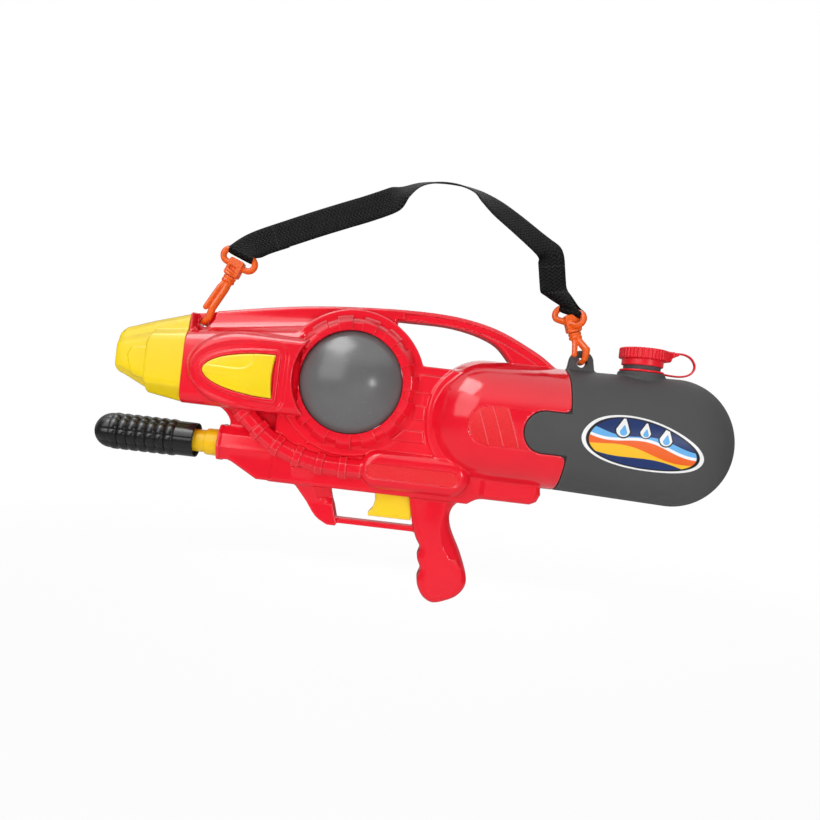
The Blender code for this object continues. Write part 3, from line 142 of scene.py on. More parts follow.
class Wire:
    """A shader socket. Arithmetic on it adds Math nodes, and add() adds any other node to its tree."""

    def __init__(self, tree, socket=None):
        self.tree = tree
        self.socket = socket

    def add(self, kind, settings=None, inputs=None, output=0):
        """A node of a kind: its settings first, then the values or links of its sockets."""
        node = self.tree.nodes.new(kind)
        for name, value in (settings or {}).items():
            setattr(node, name, value)
        for name, value in (inputs or {}).items():
            if isinstance(value, Wire):
                self.tree.links.new(value.socket, node.inputs[name])
            else:
                node.inputs[name].default_value = value
        return Wire(self.tree, node.outputs[output] if node.outputs else None)

    def math(self, operation, *values):
        """A Math node on this value and others."""
        return self.add("ShaderNodeMath", {"operation": operation}, dict(enumerate(values)))

    def __add__(self, other):
        return self.math("ADD", self, other)

    def __sub__(self, other):
        return self.math("SUBTRACT", self, other)

    def __mul__(self, other):
        return self.math("MULTIPLY", self, other)

    def __truediv__(self, other):
        return self.math("DIVIDE", self, other)

    def __rsub__(self, other):
        return self.math("SUBTRACT", other, self)

    __radd__ = __add__
    __rmul__ = __mul__

    def size(self):
        """The value without its sign."""
        return self.math("ABSOLUTE", self)

    def sine(self):
        """Sine of the value, in radians."""
        return self.math("SINE", self)

    def fold(self, step):
        """The value run up and down between 0 and a step."""
        return self.math("PINGPONG", self, step)

    def least(self, other):
        """The smaller of two values."""
        return self.math("MINIMUM", self, other)

    def most(self, other):
        """The larger of two values."""
        return self.math("MAXIMUM", self, other)

    def rise(self, low, high):
        """0 below low, 1 above high, and a smooth rise between them."""
        settings = {"interpolation_type": "SMOOTHSTEP"}
        return self.add("ShaderNodeMapRange", settings, {"Value": self, "From Min": low, "From Max": high})

    def mixed(self, first, second):
        """First colour where this value is 0, second where it is 1."""
        return self.add("ShaderNodeMix", {"data_type": "RGBA"}, {0: self, 6: first, 7: second}, output=2)

    def ray(self, kind):
        """1 for light paths of a kind, 0 for others."""
        return self.add("ShaderNodeLightPath", None, None, kind)

    def point_value(self, name):
        """A value that the mesh keeps at its points."""
        return self.add("ShaderNodeAttribute", {"attribute_name": name}, None, "Fac")

    def place(self):
        """Places on the object, in metres."""
        return self.add("ShaderNodeTexCoord", None, None, "Object")

    def noise(self, place, scale, detail):
        """Cloudy noise between 0 and 1."""
        inputs = {"Vector": place, "Scale": scale, "Detail": detail}
        return self.add("ShaderNodeTexNoise", None, inputs, "Fac")


def new_material(name):
    """An empty node material, and a Wire to add nodes with."""
    made = bpy.data.materials.new(name)
    made.use_nodes = True
    made.node_tree.nodes.clear()
    return made, Wire(made.node_tree)


def surface_output(wire, shader):
    """Connect a shader to the material's output."""
    wire.add("ShaderNodeOutputMaterial", None, {"Surface": shader})


def principled_output(wire, inputs):
    """A Principled shader with the given inputs, connected to the material's output."""
    surface_output(wire, wire.add("ShaderNodeBsdfPrincipled", None, inputs))


low_corner, high_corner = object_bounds()
floor_mesh = bpy.data.meshes.new("floor")
floor_z = low_corner.z - FLOOR_DROP
floor_corners = [(x * FLOOR_HALF, y * FLOOR_HALF, floor_z) for x, y in FLOOR_SQUARE]
floor_mesh.from_pydata(floor_corners, [], [(0, 1, 2, 3)])
floor = bpy.data.objects.new("floor", floor_mesh)
bpy.context.scene.collection.objects.link(floor)
floor_finish, wire = new_material("pale_floor")
matt = wire.add("ShaderNodeBsdfDiffuse", None, {"Color": FLOOR_GREY})
camera_ray = wire.ray("Is Camera Ray")
glossy_ray = wire.ray("Is Glossy Ray")
spot = wire.add("ShaderNodeNewGeometry", None, None, "Position")
reach = wire.add("ShaderNodeVectorMath", {"operation": "LENGTH"}, {0: spot}, "Value")
in_gloss = FLOOR_GLOSS - reach.rise(0.6, 2.5) * GLOSS_FADE
glow = in_gloss + camera_ray * (1.0 - in_gloss)
white = wire.add("ShaderNodeEmission", None, {"Color": FULL_WHITE, "Strength": glow})
share = camera_ray.most(glossy_ray) * (FLOOR_WHITE + reach.rise(0.8, 3.0) * (1.0 - FLOOR_WHITE))
surface_output(wire, wire.add("ShaderNodeMixShader", None, {0: share, 1: matt, 2: white}))
floor_mesh.materials.append(floor_finish)

for name, place, width, height, power, in_gloss, on_matt in LAMPS:
    lamp_data = bpy.data.lights.new(name, "AREA")
    lamp_data.shape = "RECTANGLE"
    lamp_data.size = width
    lamp_data.size_y = height
    lamp_data.energy = power
    lamp = bpy.data.objects.new(name, lamp_data)
    bpy.context.scene.collection.objects.link(lamp)
    lamp.location = place
    lamp.visible_glossy = in_gloss
    lamp.visible_diffuse = on_matt
    target = (low_corner + high_corner) / 2
    lamp.rotation_euler = (target - lamp.location).to_track_quat("-Z", "Y").to_euler()

world = bpy.data.worlds.new("surround")
world.use_nodes = True
world.node_tree.nodes.clear()
bpy.context.scene.world = world
wire = Wire(world.node_tree)
camera_ray = wire.ray("Is Camera Ray")
glossy_ray = wire.ray("Is Glossy Ray")
clear_ray = wire.ray("Is Transmission Ray")
heading = wire.add("ShaderNodeTexCoord", None, None, "Generated")
depth = wire.add("ShaderNodeSeparateXYZ", None, {"Vector": heading}, "Y")
up = wire.add("ShaderNodeSeparateXYZ", None, {"Vector": heading}, "Z")
room = (depth.rise(-0.10, 0.45) * BACK_WALL).most(up.rise(0.42, 0.75) * CEILING) + ROOM_SHADE
plain = SURROUND_LIGHT + FRONT_LIGHT * (0.0 - depth).rise(-0.1, 0.9)
plain = plain * (1.0 - up.rise(0.0, 0.8) * CEILING_SHADE)
plain = plain + glossy_ray * (room - plain)
seen = camera_ray.most(clear_ray)
strength = plain + seen * (1.0 - plain)
backdrop = wire.add("ShaderNodeBackground", None, {"Color": FULL_WHITE, "Strength": strength})
wire.add("ShaderNodeOutputWorld", None, {"Surface": backdrop})


# The housing: two glossy red moulded halves, screwed together from the right along the middle plane.
# Its forms run into each other with small fillets, so each half is the zero surface of a field of distances,
# found on a grid of cells. The halves mirror each other, and only the right one has screw wells.
COARSE = 1.0
CELL = 1.25 * COARSE
SEAM = 0.12
RIDGE_HALF = 11.0
SHROUD_HALF = 27.0
COWL_HALF = 38.0
CHAMBER_X, CHAMBER_Z = -54.0, 18.0
RING_HALF = 33.0
RING_BLOCKS = 15
DISC_HALF = 23.0
PLATE_HALF = 25.0
BODY_HALF = 24.0
PAD_HALF = 30.5
HOOD_RATIO = 0.945
TANK_Z = -2.0
PUMP_Z = -50.0
EYE_X, EYE_Z, EYE_RADIUS = -195.0, 57.0, 3.9
SLANT = math.sqrt(0.5)
RED = (0.88, 0.009, 0.026)


def smooth_path(points, steps=6):
    """Points on a curve through the given ones: between two, a cubic with the slopes of their neighbours."""
    points = np.asarray(points, dtype=float)
    slopes = np.gradient(points, axis=0)[:, None]
    t = (np.arange(steps) / steps)[None, :, None]
    starts, ends = points[:-1, None], points[1:, None]
    slope_start, slope_end = slopes[:-1], slopes[1:]
    path = ((2 * t ** 3 - 3 * t ** 2 + 1) * starts + (t ** 3 - 2 * t ** 2 + t) * slope_start
            + (3 * t ** 2 - 2 * t ** 3) * ends + (t ** 3 - t ** 2) * slope_end).reshape(-1, points.shape[1])
    return np.vstack((path, points[-1:]))


def outline_distance(x, z, corners):
    """Distance to the nearest edge of a closed outline, negative inside it by the rule of crossings."""
    nearest = np.full(x.shape, 1e9, x.dtype)
    inside = np.zeros(x.shape, bool)
    corners = np.asarray(corners, dtype=x.dtype)
    for (ax, az), (bx, bz) in zip(corners, np.roll(corners, -1, 0)):
        ex, ez = bx - ax, bz - az
        if ex == 0 and ez == 0:
            continue
        px, pz = x - ax, z - az
        along = np.clip((px * ex + pz * ez) / (ex * ex + ez * ez), 0, 1)
        nearest = np.minimum(nearest, (px - ex * along) ** 2 + (pz - ez * along) ** 2)
        if az != bz:
            inside ^= ((az <= z) != (bz <= z)) & (px < ex * pz / ez)
    return np.where(inside, -1, 1).astype(x.dtype) * np.sqrt(nearest)


def path_distance(x, z, corners):
    """Distance to an open line, and the length along the line to the nearest point of it."""
    nearest = np.full(x.shape, 1e9, x.dtype)
    length = np.zeros(x.shape, x.dtype)
    run = 0.0
    corners = np.asarray(corners, dtype=x.dtype)
    for (ax, az), (bx, bz) in zip(corners[:-1], corners[1:]):
        ex, ez = bx - ax, bz - az
        size = math.hypot(ex, ez)
        along = np.clip(((x - ax) * ex + (z - az) * ez) / (size * size), 0, 1)
        gap = np.hypot(x - ax - ex * along, z - az - ez * along)
        closer = gap < nearest
        nearest = np.where(closer, gap, nearest)
        length = np.where(closer, run + along * size, length)
        run += size
    return nearest, length


def bar_distance(x, z, left, right, middle, radius):
    """Distance to a bar outline with round ends."""
    return np.hypot(x - np.clip(x, left + radius, right - radius), z - middle) - radius


def rectangle(x, z, middle, half):
    """Distance to a rectangle, from its middle and its half sizes."""
    return np.maximum(np.abs(x - middle[0]) - half[0], np.abs(z - middle[1]) - half[1])


def slab(side, across, half, edge):
    """A side-view outline carried across to a half width, with its rim rounded to an edge radius."""
    u, v = side + edge, across - half + edge
    return np.minimum(np.maximum(u, v), 0) + np.hypot(np.maximum(u, 0), np.maximum(v, 0)) - edge


def joined(a, b, fillet):
    """Union of two distances with a fillet between them: the smaller one, lowered where they are alike."""
    near = np.maximum(fillet - np.abs(a - b), 0)
    return np.minimum(a, b) - near * near / (4 * fillet)


def carved(a, b, fillet):
    """The first form without the second, with the new edge rounded."""
    return -joined(-a, b, fillet)


def ramp(value, low, high):
    """0 below low, 1 above high, and a smooth cubic between them."""
    t = np.clip((value - low) / (high - low), 0, 1)
    return t * t * (3 - 2 * t)


RIDGE_TOP = smooth_path(((-206, 64), (-100, 82.5), (0, 89.5), (60, 84), (105, 66), (130, 50)))
HAND_ARCH = smooth_path(((87, 51), (67, 69), (30, 78.5), (-20, 79)))
RIDGE = np.vstack((RIDGE_TOP, ((104, 44),), HAND_ARCH, ((-20, 35), (-206, 35))))
NOSE_END = -203.3
NOSE_FRAME = ((-216, 30), (-200.6, 30), (-200.6, 64.3), (-216, 61.5))
SHROUD = ((-216, -17), (-97, -17), (-97, 60), (-216, 44.5))
PLATE = ((-88, -40), (72, -40), (72, 40), (-88, 40))
BODY = ((-118, -77.5), (60, -77.5), (72, -69.5), (72, -13), (-118, -13))
CHIN = ((-158, -50), (-156, -63), (-130, -77.5), (-88, -77.5), (-88, -50))
GUSSET = np.vstack((smooth_path(((-176, -14), (-166, -20.5), (-160.5, -28), (-160, -35)), 4),
                    ((-165, -40), (-112, -44), (-112, -12))))
TUBE_SECTION = ((-5, -33.5), (9, -33.5), (15.5, -40.5), (17.5, -52.5), (13, -63), (-5, -65))
KEEL = ((58, -44), (58, -72), (116, -72), (122, -69), (125, -62), (122, -44))
POST = np.vstack((((-99, -62),), smooth_path(((-94, -79), (-84, -92), (-74, -105), (-63, -111.5)), 3),
                  ((-55, -111.5), (-54, -108), (-56, -104), (-63, -80), (-60, -62))))
GUARD_BAR = ((-60, -109.5), (22, -109.5), (22, -104.5), (-60, -104.5))
GRIP = np.vstack((
    smooth_path(((8, -62), (8, -76), (13, -99), (18, -113), (23, -122), (21.5, -131), (25.5, -141),
                 (23.5, -150), (25.5, -158), (31, -166), (40, -170), (51, -167), (61, -161.5), (67.5, -152),
                 (67, -141), (60, -123), (50, -104), (46.5, -91), (50, -81), (60, -74)), 4),
    ((60, -62),)))
CREASE = (74, 88, 103, 117, 129, 139), (43.7, 40.5, 39.2, 42, 50.3, 67.7)
HOSE_PATH = smooth_path(((-152, -12), (-140, -24), (-122, -39), (-102, -49), (-80, -55), (-58, -57),
                         (-36, -57)))
HOOD_DOME = smooth_path(((24, 33.5), (30, 40), (38, 46.3), (46, 50.8), (55, 53.6), (64, 54.7), (84, 55)), 4)
HOOD_PROFILE = np.vstack((((20.5, 0), (20.5, 28), (21.5, 30.5)), HOOD_DOME, ((150, 55), (150, 0))))
HOOD_LIP = np.vstack((((60, -46), (60, 39)), smooth_path(
    ((33, 39), (25, 30.5), (18, 18.5), (15.2, 4), (15.2, -9), (18, -23), (24, -36), (33, -46)), 4)))
RIB_START, RIB_STEP, RIB_LEAN, RIB_END = 63.0, 12.8, 0.39, 88.6
BAND_Z, BAND_FRONT, BAND_RADIUS = -5.5, 67.0, 17.0
SLOT_FRONT, SLOT_RADIUS = 115.8, 18.4
HOOD_END = 136.0
SUNK_BAR = (-31.5, 49.5, -56.5, 6.4)
INNER_SPACES = (
    # room for the valve stem, and for the trigger's arm, foot plate and blade:
    # middle along and up, half length and half height, half width
    ((15.0, 17.0), (30.0, 9.0), 8.6),
    ((18.0, -28.0), (8.5, 47.0), 8.6),
    ((0.5, -72.3), (26.0, 2.9), 10.0),
    ((-2.0, -87.5), (23.5, 13.5), 6.4),
)
WELL_RADIUS, WELL_FLOOR = 3.1, 5.0
PANELS = (((1, 15.5), (30, 15.5), (30, 32), (5.5, 32)),
          ((3.5, -8), (13.5, -8), (13, 5), (4, 5)),
          ((-14, -28), (16, -28), (13.5, -18), (-4, -18)))
EYE_POCKET = ((-200.8, 75), (-200.8, 54), (-196, 48.5), (-189, 50.5), (-184, 60), (-181, 75))
# Places of the screws along and up.
SCREWS = ((-171.0, 60.0), (-195.0, -7.0), (-112.0, 70.0), (-6.0, -28.0), (34.0, -14.0), (20.0, 84.0),
          (-78.0, -95.0), (46.0, -148.0))


def bullet(nose, rear, length, middle, height):
    """A bullet outline: half an ellipse of the given length at the nose, then straight to the rear."""
    turn = np.linspace(math.pi / 2, 3 * math.pi / 2, 25)
    front = np.column_stack((nose + length * (1 + np.cos(turn)), middle + height * np.sin(turn)))
    return np.vstack((((rear, middle + height),), front, ((rear, middle - height),)))


COWL = bullet(-197.0, -80.0, 50.0, 17.0, 33.5)
INSERT_Z = 14.6
INSERT = bullet(-182.0, -120.0, 62.0, INSERT_Z, 18.9)


def from_band(x, z, front):
    """Distance from the middle line of a band that runs back from its round front end on the hood's side."""
    return np.hypot(np.minimum(x - front, 0), z - BAND_Z)


def under_cowl(x):
    """How far the chamber's ring is set back where the cowl runs over it."""
    return 9.0 * ramp(-x, 98.5, 101.0)


def shroud_field(x, across, z):
    """Front of the housing: the top ridge and the shroud, with the bullet-shaped cowl on its side."""
    rim = outline_distance(x, z, RIDGE)
    ridge = slab(rim, across, RIDGE_HALF, 3.0)
    below_top = path_distance(x, z, RIDGE_TOP)[0]
    groove = np.maximum(np.abs(below_top - 6.4) - 2.6, -14.0 - x)
    groove = np.maximum(groove, RIDGE_HALF - 1.5 - across)
    ridge = carved(ridge, groove, 0.8)
    shroud = slab(outline_distance(x, z, SHROUD), across, SHROUD_HALF, 12.0)
    cowl_side = outline_distance(x, z, COWL)
    cowl = slab(cowl_side, across, COWL_HALF, 7.5)
    insert_side = outline_distance(x, z, INSERT)
    channel = 1.7 * (ramp(insert_side, 3.4, 4.6) - ramp(insert_side, 8.2, 11.5))
    cowl = cowl + np.where(across > 20, channel, 0)
    chamber = np.hypot(x - CHAMBER_X, z - CHAMBER_Z)
    cowl = carved(cowl, chamber - 50.5, 1.5)
    frame = slab(outline_distance(x, z, NOSE_FRAME), across, 17.5, 2.0)
    front = joined(joined(ridge, shroud, 16.0), frame, 1.5)
    return joined(carved(front, x - NOSE_END, 0.8), cowl, 2.5)


def ring_field(x, across, z):
    """Core of the chamber's ring on its backing disc, and the plate behind with its raised panels."""
    radius = np.hypot(x - CHAMBER_X, z - CHAMBER_Z)
    disc = slab(radius - 65.0, across, DISC_HALF, 1.5)
    disc = np.maximum(disc, (radius + across - 87.5) * SLANT)
    ring = slab(radius - 55.5, across + under_cowl(x), RING_HALF - 2.5, 0.8)
    ring = np.maximum(ring, (radius + across - 81.5) * SLANT)
    plate = slab(outline_distance(x, z, PLATE), across, PLATE_HALF - 2.0, 2.0)
    for panel in PANELS:
        plate = joined(plate, slab(outline_distance(x, z, panel), across, PLATE_HALF - 0.4, 0.8), 0.6)
    return joined(joined(disc, ring, 1.5), plate, 1.5)


def hood_field(x, across, z):
    """Domed hood over the tank's front: its lip, the side cut-out, the sunk band and the ribbed panel."""
    radius = np.hypot(across / HOOD_RATIO, z - TANK_Z)
    hood = outline_distance(x, radius, HOOD_PROFILE)
    band = from_band(x, z, BAND_FRONT) - BAND_RADIUS
    lean = x + RIB_LEAN * (z - BAND_Z)
    step = (lean - RIB_START) / RIB_STEP
    line = 1 - ramp(np.abs(step - np.round(step)) * RIB_STEP, 0.35, 0.9)
    sunk = (1 - ramp(band, -0.6, 0.6)) * (0.8 - 0.45 * line * (lean < RIB_END + 1))
    hood = hood + np.where((across > 20) & (x > 30), sunk, 0)
    hood = joined(hood, slab(outline_distance(x, z, HOOD_LIP), across, PLATE_HALF + 1.2, 2.2), 1.5)
    end = carved(x - HOOD_END, from_band(x, z, SLOT_FRONT) - SLOT_RADIUS, 7.0)
    hood = carved(hood, -end, 1.6)
    inside = np.maximum(np.maximum(radius - 52.2, 80.0 - x), x - 200.0)
    return carved(hood, inside, 0.8)


def body_field(x, across, z):
    """Lower body: pump tube, chin, gusset, ribbed hose relief, side pad and keel."""
    body = slab(outline_distance(x, z, BODY), across, BODY_HALF - 5.0, 4.0)
    tube = outline_distance(across, z, TUBE_SECTION)
    tube = slab(tube, np.abs(x + 129.0), 39.0, 1.2)
    collar = slab(tube - 0.9, np.abs(x + 166.4), 1.6, 0.8)
    chin = slab(outline_distance(x, z, CHIN), across, 16.5, 3.0)
    gusset = slab(outline_distance(x, z, GUSSET), across, 9.0, 2.0)
    gap, length = path_distance(x, z, HOSE_PATH)
    band = length / 20.5
    swell = 1.4 * (1 - ramp(np.abs(band - np.floor(band) - 0.5), 0.15, 0.19))
    deep = np.abs(across - 20.5)
    hose = np.maximum(np.maximum(gap, deep), (gap + deep) * SLANT) - 7.9 - swell
    hose = np.maximum(hose, x + 37.0)
    pad = slab(bar_distance(x, z, -38.0, 59.0, -55.0, 17.0), across, PAD_HALF, 9.0)
    sunk = 1 - ramp(bar_distance(x, z, *SUNK_BAR), -0.5, 0.8)
    pad = pad + np.where(across > 20, 1.5 * sunk, 0)
    keel = slab(outline_distance(x, z, KEEL), across, 17.0, 6.0)
    form = joined(joined(body, joined(tube, collar, 1.0), 2.5), chin, 2.5)
    form = joined(joined(form, gusset, 2.5), hose, 1.5)
    return joined(joined(form, pad, 2.5), keel, 4.0)


def grip_field(x, across, z):
    """Trigger guard with its folded post, and the grip with its finger waves and scooped side."""
    fold = 0.6 * np.clip(x + 74.0 + 0.3 * (z + 92.0), 0, 20)
    flare = 11.5 * np.clip((z + 92.0) / 28.0, 0, 1) - fold * np.clip((z + 93.0) / 6.0, 0, 1)
    post = slab(outline_distance(x, z, POST), across - np.maximum(flare, -5.0), 9.5, 1.0)
    bar = slab(outline_distance(x, z, GUARD_BAR), across, 6.5, 1.6)
    crease = np.interp(-z, *CREASE).astype(x.dtype)
    scoop = 2.0 * np.exp(-((x - 24.0) / 10.0) ** 2 - ((z + 82.0) / 15.0) ** 2)
    thin = 0.42 * np.clip(x - crease, 0, 20) + scoop
    grip = slab(outline_distance(x, z, GRIP), across + thin, 14.0, 6.0)
    return joined(joined(post, bar, 1.5), grip, 2.0)


def hollows(x, across, z, wells):
    """What is cut out of the housing: strap eye, chamber, insert, pump, valve, trigger and screw wells."""
    cut = np.hypot(x - CHAMBER_X, z - CHAMBER_Z) - 45.4
    eye = np.hypot(x - EYE_X, z - EYE_Z) - EYE_RADIUS
    pocket = np.maximum(outline_distance(x, z, EYE_POCKET), 4.5 - across)
    insert = np.maximum(outline_distance(x, z, INSERT) - 0.35, COWL_HALF - 2.8 - across)
    pump = np.maximum(np.hypot(across, z - PUMP_Z) - 13.1, np.abs(x + 115.0) - 65.0)
    barrel = np.maximum(np.hypot(across, z - CHAMBER_Z) - 9.0, np.abs(x + 160.0) - 65.0)
    for form in (eye, pocket, insert, pump, barrel):
        cut = np.minimum(cut, form)
    for middle, half, width in INNER_SPACES:
        cut = np.minimum(cut, np.maximum(rectangle(x, z, middle, half), across - width))
    for well_x, well_z in SCREWS if wells else ():
        well = np.hypot(x - well_x, z - well_z) - WELL_RADIUS
        cut = np.minimum(cut, np.maximum(well, WELL_FLOOR - across))
    return cut


REGIONS = (
    # a field, the corners of the box that holds its form, and the fillet to the forms before it
    (ring_field, (-123, 0, -50), (73, 34, 86), 1.5),
    (body_field, (-177, 0, -80), (126, 32, -5), 1.5),
    (hood_field, (14, 0, -58), (137, 53, 54), 1.8),
    (grip_field, (-100, 0, -171), (70, 23, -61), 2.0),
)


def near(form, low, high, x, across, z):
    """A form's distance near its box; further off, where it can't matter, the distance to the box."""
    gap = np.maximum(np.maximum(np.maximum(low[0] - x, x - high[0]), across - high[1]),
                     np.maximum(low[2] - z, z - high[2]))
    close = gap < 5.0
    gap[close] = form(x[close], across[close], z[close])
    return gap


def housing_field(points, wells=False):
    """Distance to one half of the housing, with Y taken outwards from the middle plane."""
    x, across, z = points.T
    form = near(shroud_field, (-208, 0, -18), (132, 39, 92), x, across, z)
    for field, low, high, fillet in REGIONS:
        form = joined(form, near(field, low, high, x, across, z), fillet)
    return carved(form, hollows(x, across, z, wells), 0.7)


def zero_surface(field, low, high, cell):
    """Points and quads of a field's zero surface on a grid of cells.

    Blocks of cells far from the surface only get a sign. A cell that the surface crosses gets one point, the
    mean of the crossings on its edges, and each grid edge that it crosses gets a quad of its four cells.
    """
    step = 4
    low = np.asarray(low, dtype=np.float32)
    blocks = np.ceil((np.asarray(high) - low) / (cell * step)).astype(int)
    middle = [low[k] + (np.arange(blocks[k]) * step + (step - 1) / 2) * cell for k in range(3)]
    coarse = np.stack(np.meshgrid(*middle, indexing="ij"), -1).reshape(-1, 3).astype(np.float32)
    value = field(coarse).reshape(blocks)
    reach = cell * step * 0.87 + 1.5

    def spread(blocky):
        """Each block's value on all its samples."""
        for axis in range(3):
            blocky = np.repeat(blocky, step, axis)
        return blocky

    dense = spread(np.where(value > 0, np.float32(9), np.float32(-9)))
    close = np.argwhere(spread(np.abs(value) < reach))
    dense[tuple(close.T)] = field((low + close * cell).astype(np.float32))
    inside = dense < 0
    corners = np.array(np.meshgrid((0, 1), (0, 1), (0, 1), indexing="ij")).reshape(3, -1).T
    end = np.array(inside.shape) - 1
    windows = [tuple(slice(a, a + b) for a, b in zip(corner, end)) for corner in corners]
    count = sum(inside[window].astype(np.int8) for window in windows)
    cells = np.argwhere((count > 0) & (count < 8))
    at = [dense[tuple((cells + corner).T)] for corner in corners]
    total = np.zeros((len(cells), 3))
    hits = np.zeros(len(cells))
    for first in range(8):
        for axis in range(3):
            if corners[first][axis]:
                continue
            other = first + (4, 2, 1)[axis]
            crossed = (at[first] < 0) != (at[other] < 0)
            share = np.where(crossed, at[first] / np.where(crossed, at[first] - at[other], 1), 0)
            point = corners[first] + share[:, None] * np.eye(3)[axis]
            total += np.where(crossed[:, None], point, 0)
            hits += crossed
    points = low + (cells + total / hits[:, None]) * cell
    number = np.full(count.shape, -1, np.int32)
    number[tuple(cells.T)] = np.arange(len(cells))
    quads = []
    for axis in range(3):
        u, v = np.eye(3, dtype=int)[[(axis + 1) % 3, (axis + 2) % 3]]
        edge = np.diff(inside.astype(np.int8), axis=axis)
        start = np.argwhere(edge != 0)
        start = start[((start - u - v) >= 0).all(1) & (start < np.array(number.shape)).all(1)]
        rising = edge[tuple(start.T)] < 0
        ring = np.stack([number[tuple((start + shift).T)] for shift in (-u - v, -v, 0 * u, -u)], 1)
        quads.append(np.where(rising[:, None], ring, ring[:, ::-1]))
    quads = np.vstack(quads)
    return points, quads[(quads >= 0).all(1)]


def field_slope(field, points, reach):
    """Slope of a field by differences to both sides."""
    steps = np.eye(3, dtype=np.float32) * reach
    return np.stack([(field(points + step) - field(points - step)) / (2 * reach) for step in steps], 1)


def mesh_object(name, points, face_sets, material, normals=None, **values):
    """A smooth mesh object from points and arrays of quads or triangles, with named point values."""
    mesh = bpy.data.meshes.new(name)
    corners = np.concatenate([np.asarray(faces).ravel() for faces in face_sets])
    sizes = np.concatenate([np.full(len(faces), np.shape(faces)[1]) for faces in face_sets])
    mesh.vertices.add(len(points))
    mesh.vertices.foreach_set("co", np.asarray(points, dtype=np.float32).ravel())
    mesh.loops.add(len(corners))
    mesh.loops.foreach_set("vertex_index", corners.astype(np.int32))
    mesh.polygons.add(len(sizes))
    mesh.polygons.foreach_set("loop_start", (np.cumsum(sizes) - sizes).astype(np.int32))
    mesh.update(calc_edges=True)
    mesh.shade_smooth()
    for label, value in values.items():
        mesh.attributes.new(label, "FLOAT", "POINT").data.foreach_set("value", value.astype(np.float32))
    if normals is not None:
        mesh.normals_split_custom_set_from_vertices(normals)
    mesh.materials.append(material)
    made = bpy.data.objects.new(name, mesh)
    bpy.context.scene.collection.objects.link(made)
    return made


def moulded_plastic(name, colour, roughness, coat=0.0, edge=0.0, peel=0.02, scuff=0.06, gloss=0.5):
    """Moulded plastic: a faint drift of colour, orange peel, fine scuffs that dull the gloss, and edges worn
    rougher and painted paler as a highlight.

    Where a mesh's grain value is 1 the mould was grained, so the surface is dull with fine pits, and its
    colour is painted deeper as shade, since the grained places are sunk recesses.
    """
    made, wire = new_material(name)
    place = wire.place()
    drift = wire.noise(place, 22.0, 3.0)
    streaks = wire.add("ShaderNodeMapping", None, {"Vector": place, "Scale": (160.0, 900.0, 1900.0)})
    scratch = wire.noise(streaks, 1.0, 2.0).rise(0.62, 0.74)
    dull = wire.noise(place, 95.0, 4.0)
    ripple = wire.noise(place, 520.0, 1.0)
    speck = wire.add("ShaderNodeTexVoronoi", None, {"Vector": place, "Scale": 1100.0}, "Distance")
    grain = wire.point_value("grain")
    deep = tuple(0.93 * c for c in colour)
    tone = (drift.rise(0.3, 0.7)).mixed((*deep, 1.0), (*colour, 1.0))
    edge_wear_and_highlight = wire.point_value("edge")
    # Convex edges are rubbed rougher and painted pale: a painted highlight where rounded edges catch the
    # light.
    pale = tuple(min(1.0, c * 0.85 + 0.16) for c in colour)
    tone = (edge_wear_and_highlight * edge).mixed(tone, (*pale, 1.0))
    # Ribs of the hood's panel are bumped and kept free of grain, and each crest gets a painted highlight in
    # pale.
    lean = wire.point_value("lean") - RIB_START
    ribbed = wire.point_value("ribbed")
    rib_and_painted_highlight = (1.0 - lean.fold(RIB_STEP / 2).rise(0.25, 0.65)) * ribbed
    grain = grain * (1.0 - rib_and_painted_highlight)
    tone = (rib_and_painted_highlight * 0.55).mixed(tone, (*pale, 1.0))
    # Painted shade: the grained recesses get a deeper copy of the colour.
    full = (0.95 * colour[0], 0.4 * colour[1], 0.4 * colour[2], 1.0)
    tone = grain.mixed(tone, full)
    rough = roughness + dull * scuff + scratch * scuff + edge_wear_and_highlight * (0.5 * edge) + grain * 0.25
    height = ripple * peel + grain * speck + rib_and_painted_highlight * 0.5
    bump = wire.add("ShaderNodeBump", None, {"Strength": 0.6, "Distance": 0.0006, "Height": height}, "Normal")
    principled_output(wire, {
        "Base Color": tone, "Roughness": rough, "Normal": bump, "Coat Weight": coat, "Coat Roughness": 0.06,
        "IOR": 1.5, "Specular IOR Level": gloss})
    return made


red_plastic = moulded_plastic("red_moulding", RED, 0.13, coat=0.1, edge=0.4, scuff=0.03)
HOUSING_LOW = (-208.0, SEAM, -172.5)
HOUSING_HIGH = (139.0, 56.0, 93.0)


def drawn_surface(field, box, cell):
    """A field's zero surface with its points drawn onto it along the slope: points, quads and normals."""
    points, quads = zero_surface(field, *box, cell)
    for _ in range(2):
        slope = field_slope(field, points, 0.06)
        step = field(points)[:, None] * slope / np.maximum((slope ** 2).sum(1), 0.2)[:, None]
        points -= np.clip(step, -cell / 2, cell / 2)
    normals = field_slope(field, points, 0.2 * cell)
    return points, quads, normals / np.maximum(np.linalg.norm(normals, axis=1), 1e-6)[:, None]


def standing_out(points, pairs, normals, cell):
    """How far each point stands out from its neighbours: 0 on flats, up to 1 on edges."""
    pull = np.zeros_like(points)
    count = np.zeros(len(points))
    for first, second in (pairs.T, pairs.T[::-1]):
        np.add.at(pull, first, points[second] - points[first])
        np.add.at(count, first, 1)
    return np.clip(-4 * (pull / np.maximum(count, 1)[:, None] * normals).sum(1) / cell - 0.3, 0, 1)


def edge_pairs(quads):
    """The edges of quads as pairs of points, and how many quads use each."""
    pairs = np.sort(np.stack((quads, np.roll(quads, -1, 1)), -1).reshape(-1, 2), 1)
    return np.unique(pairs, axis=0, return_counts=True)


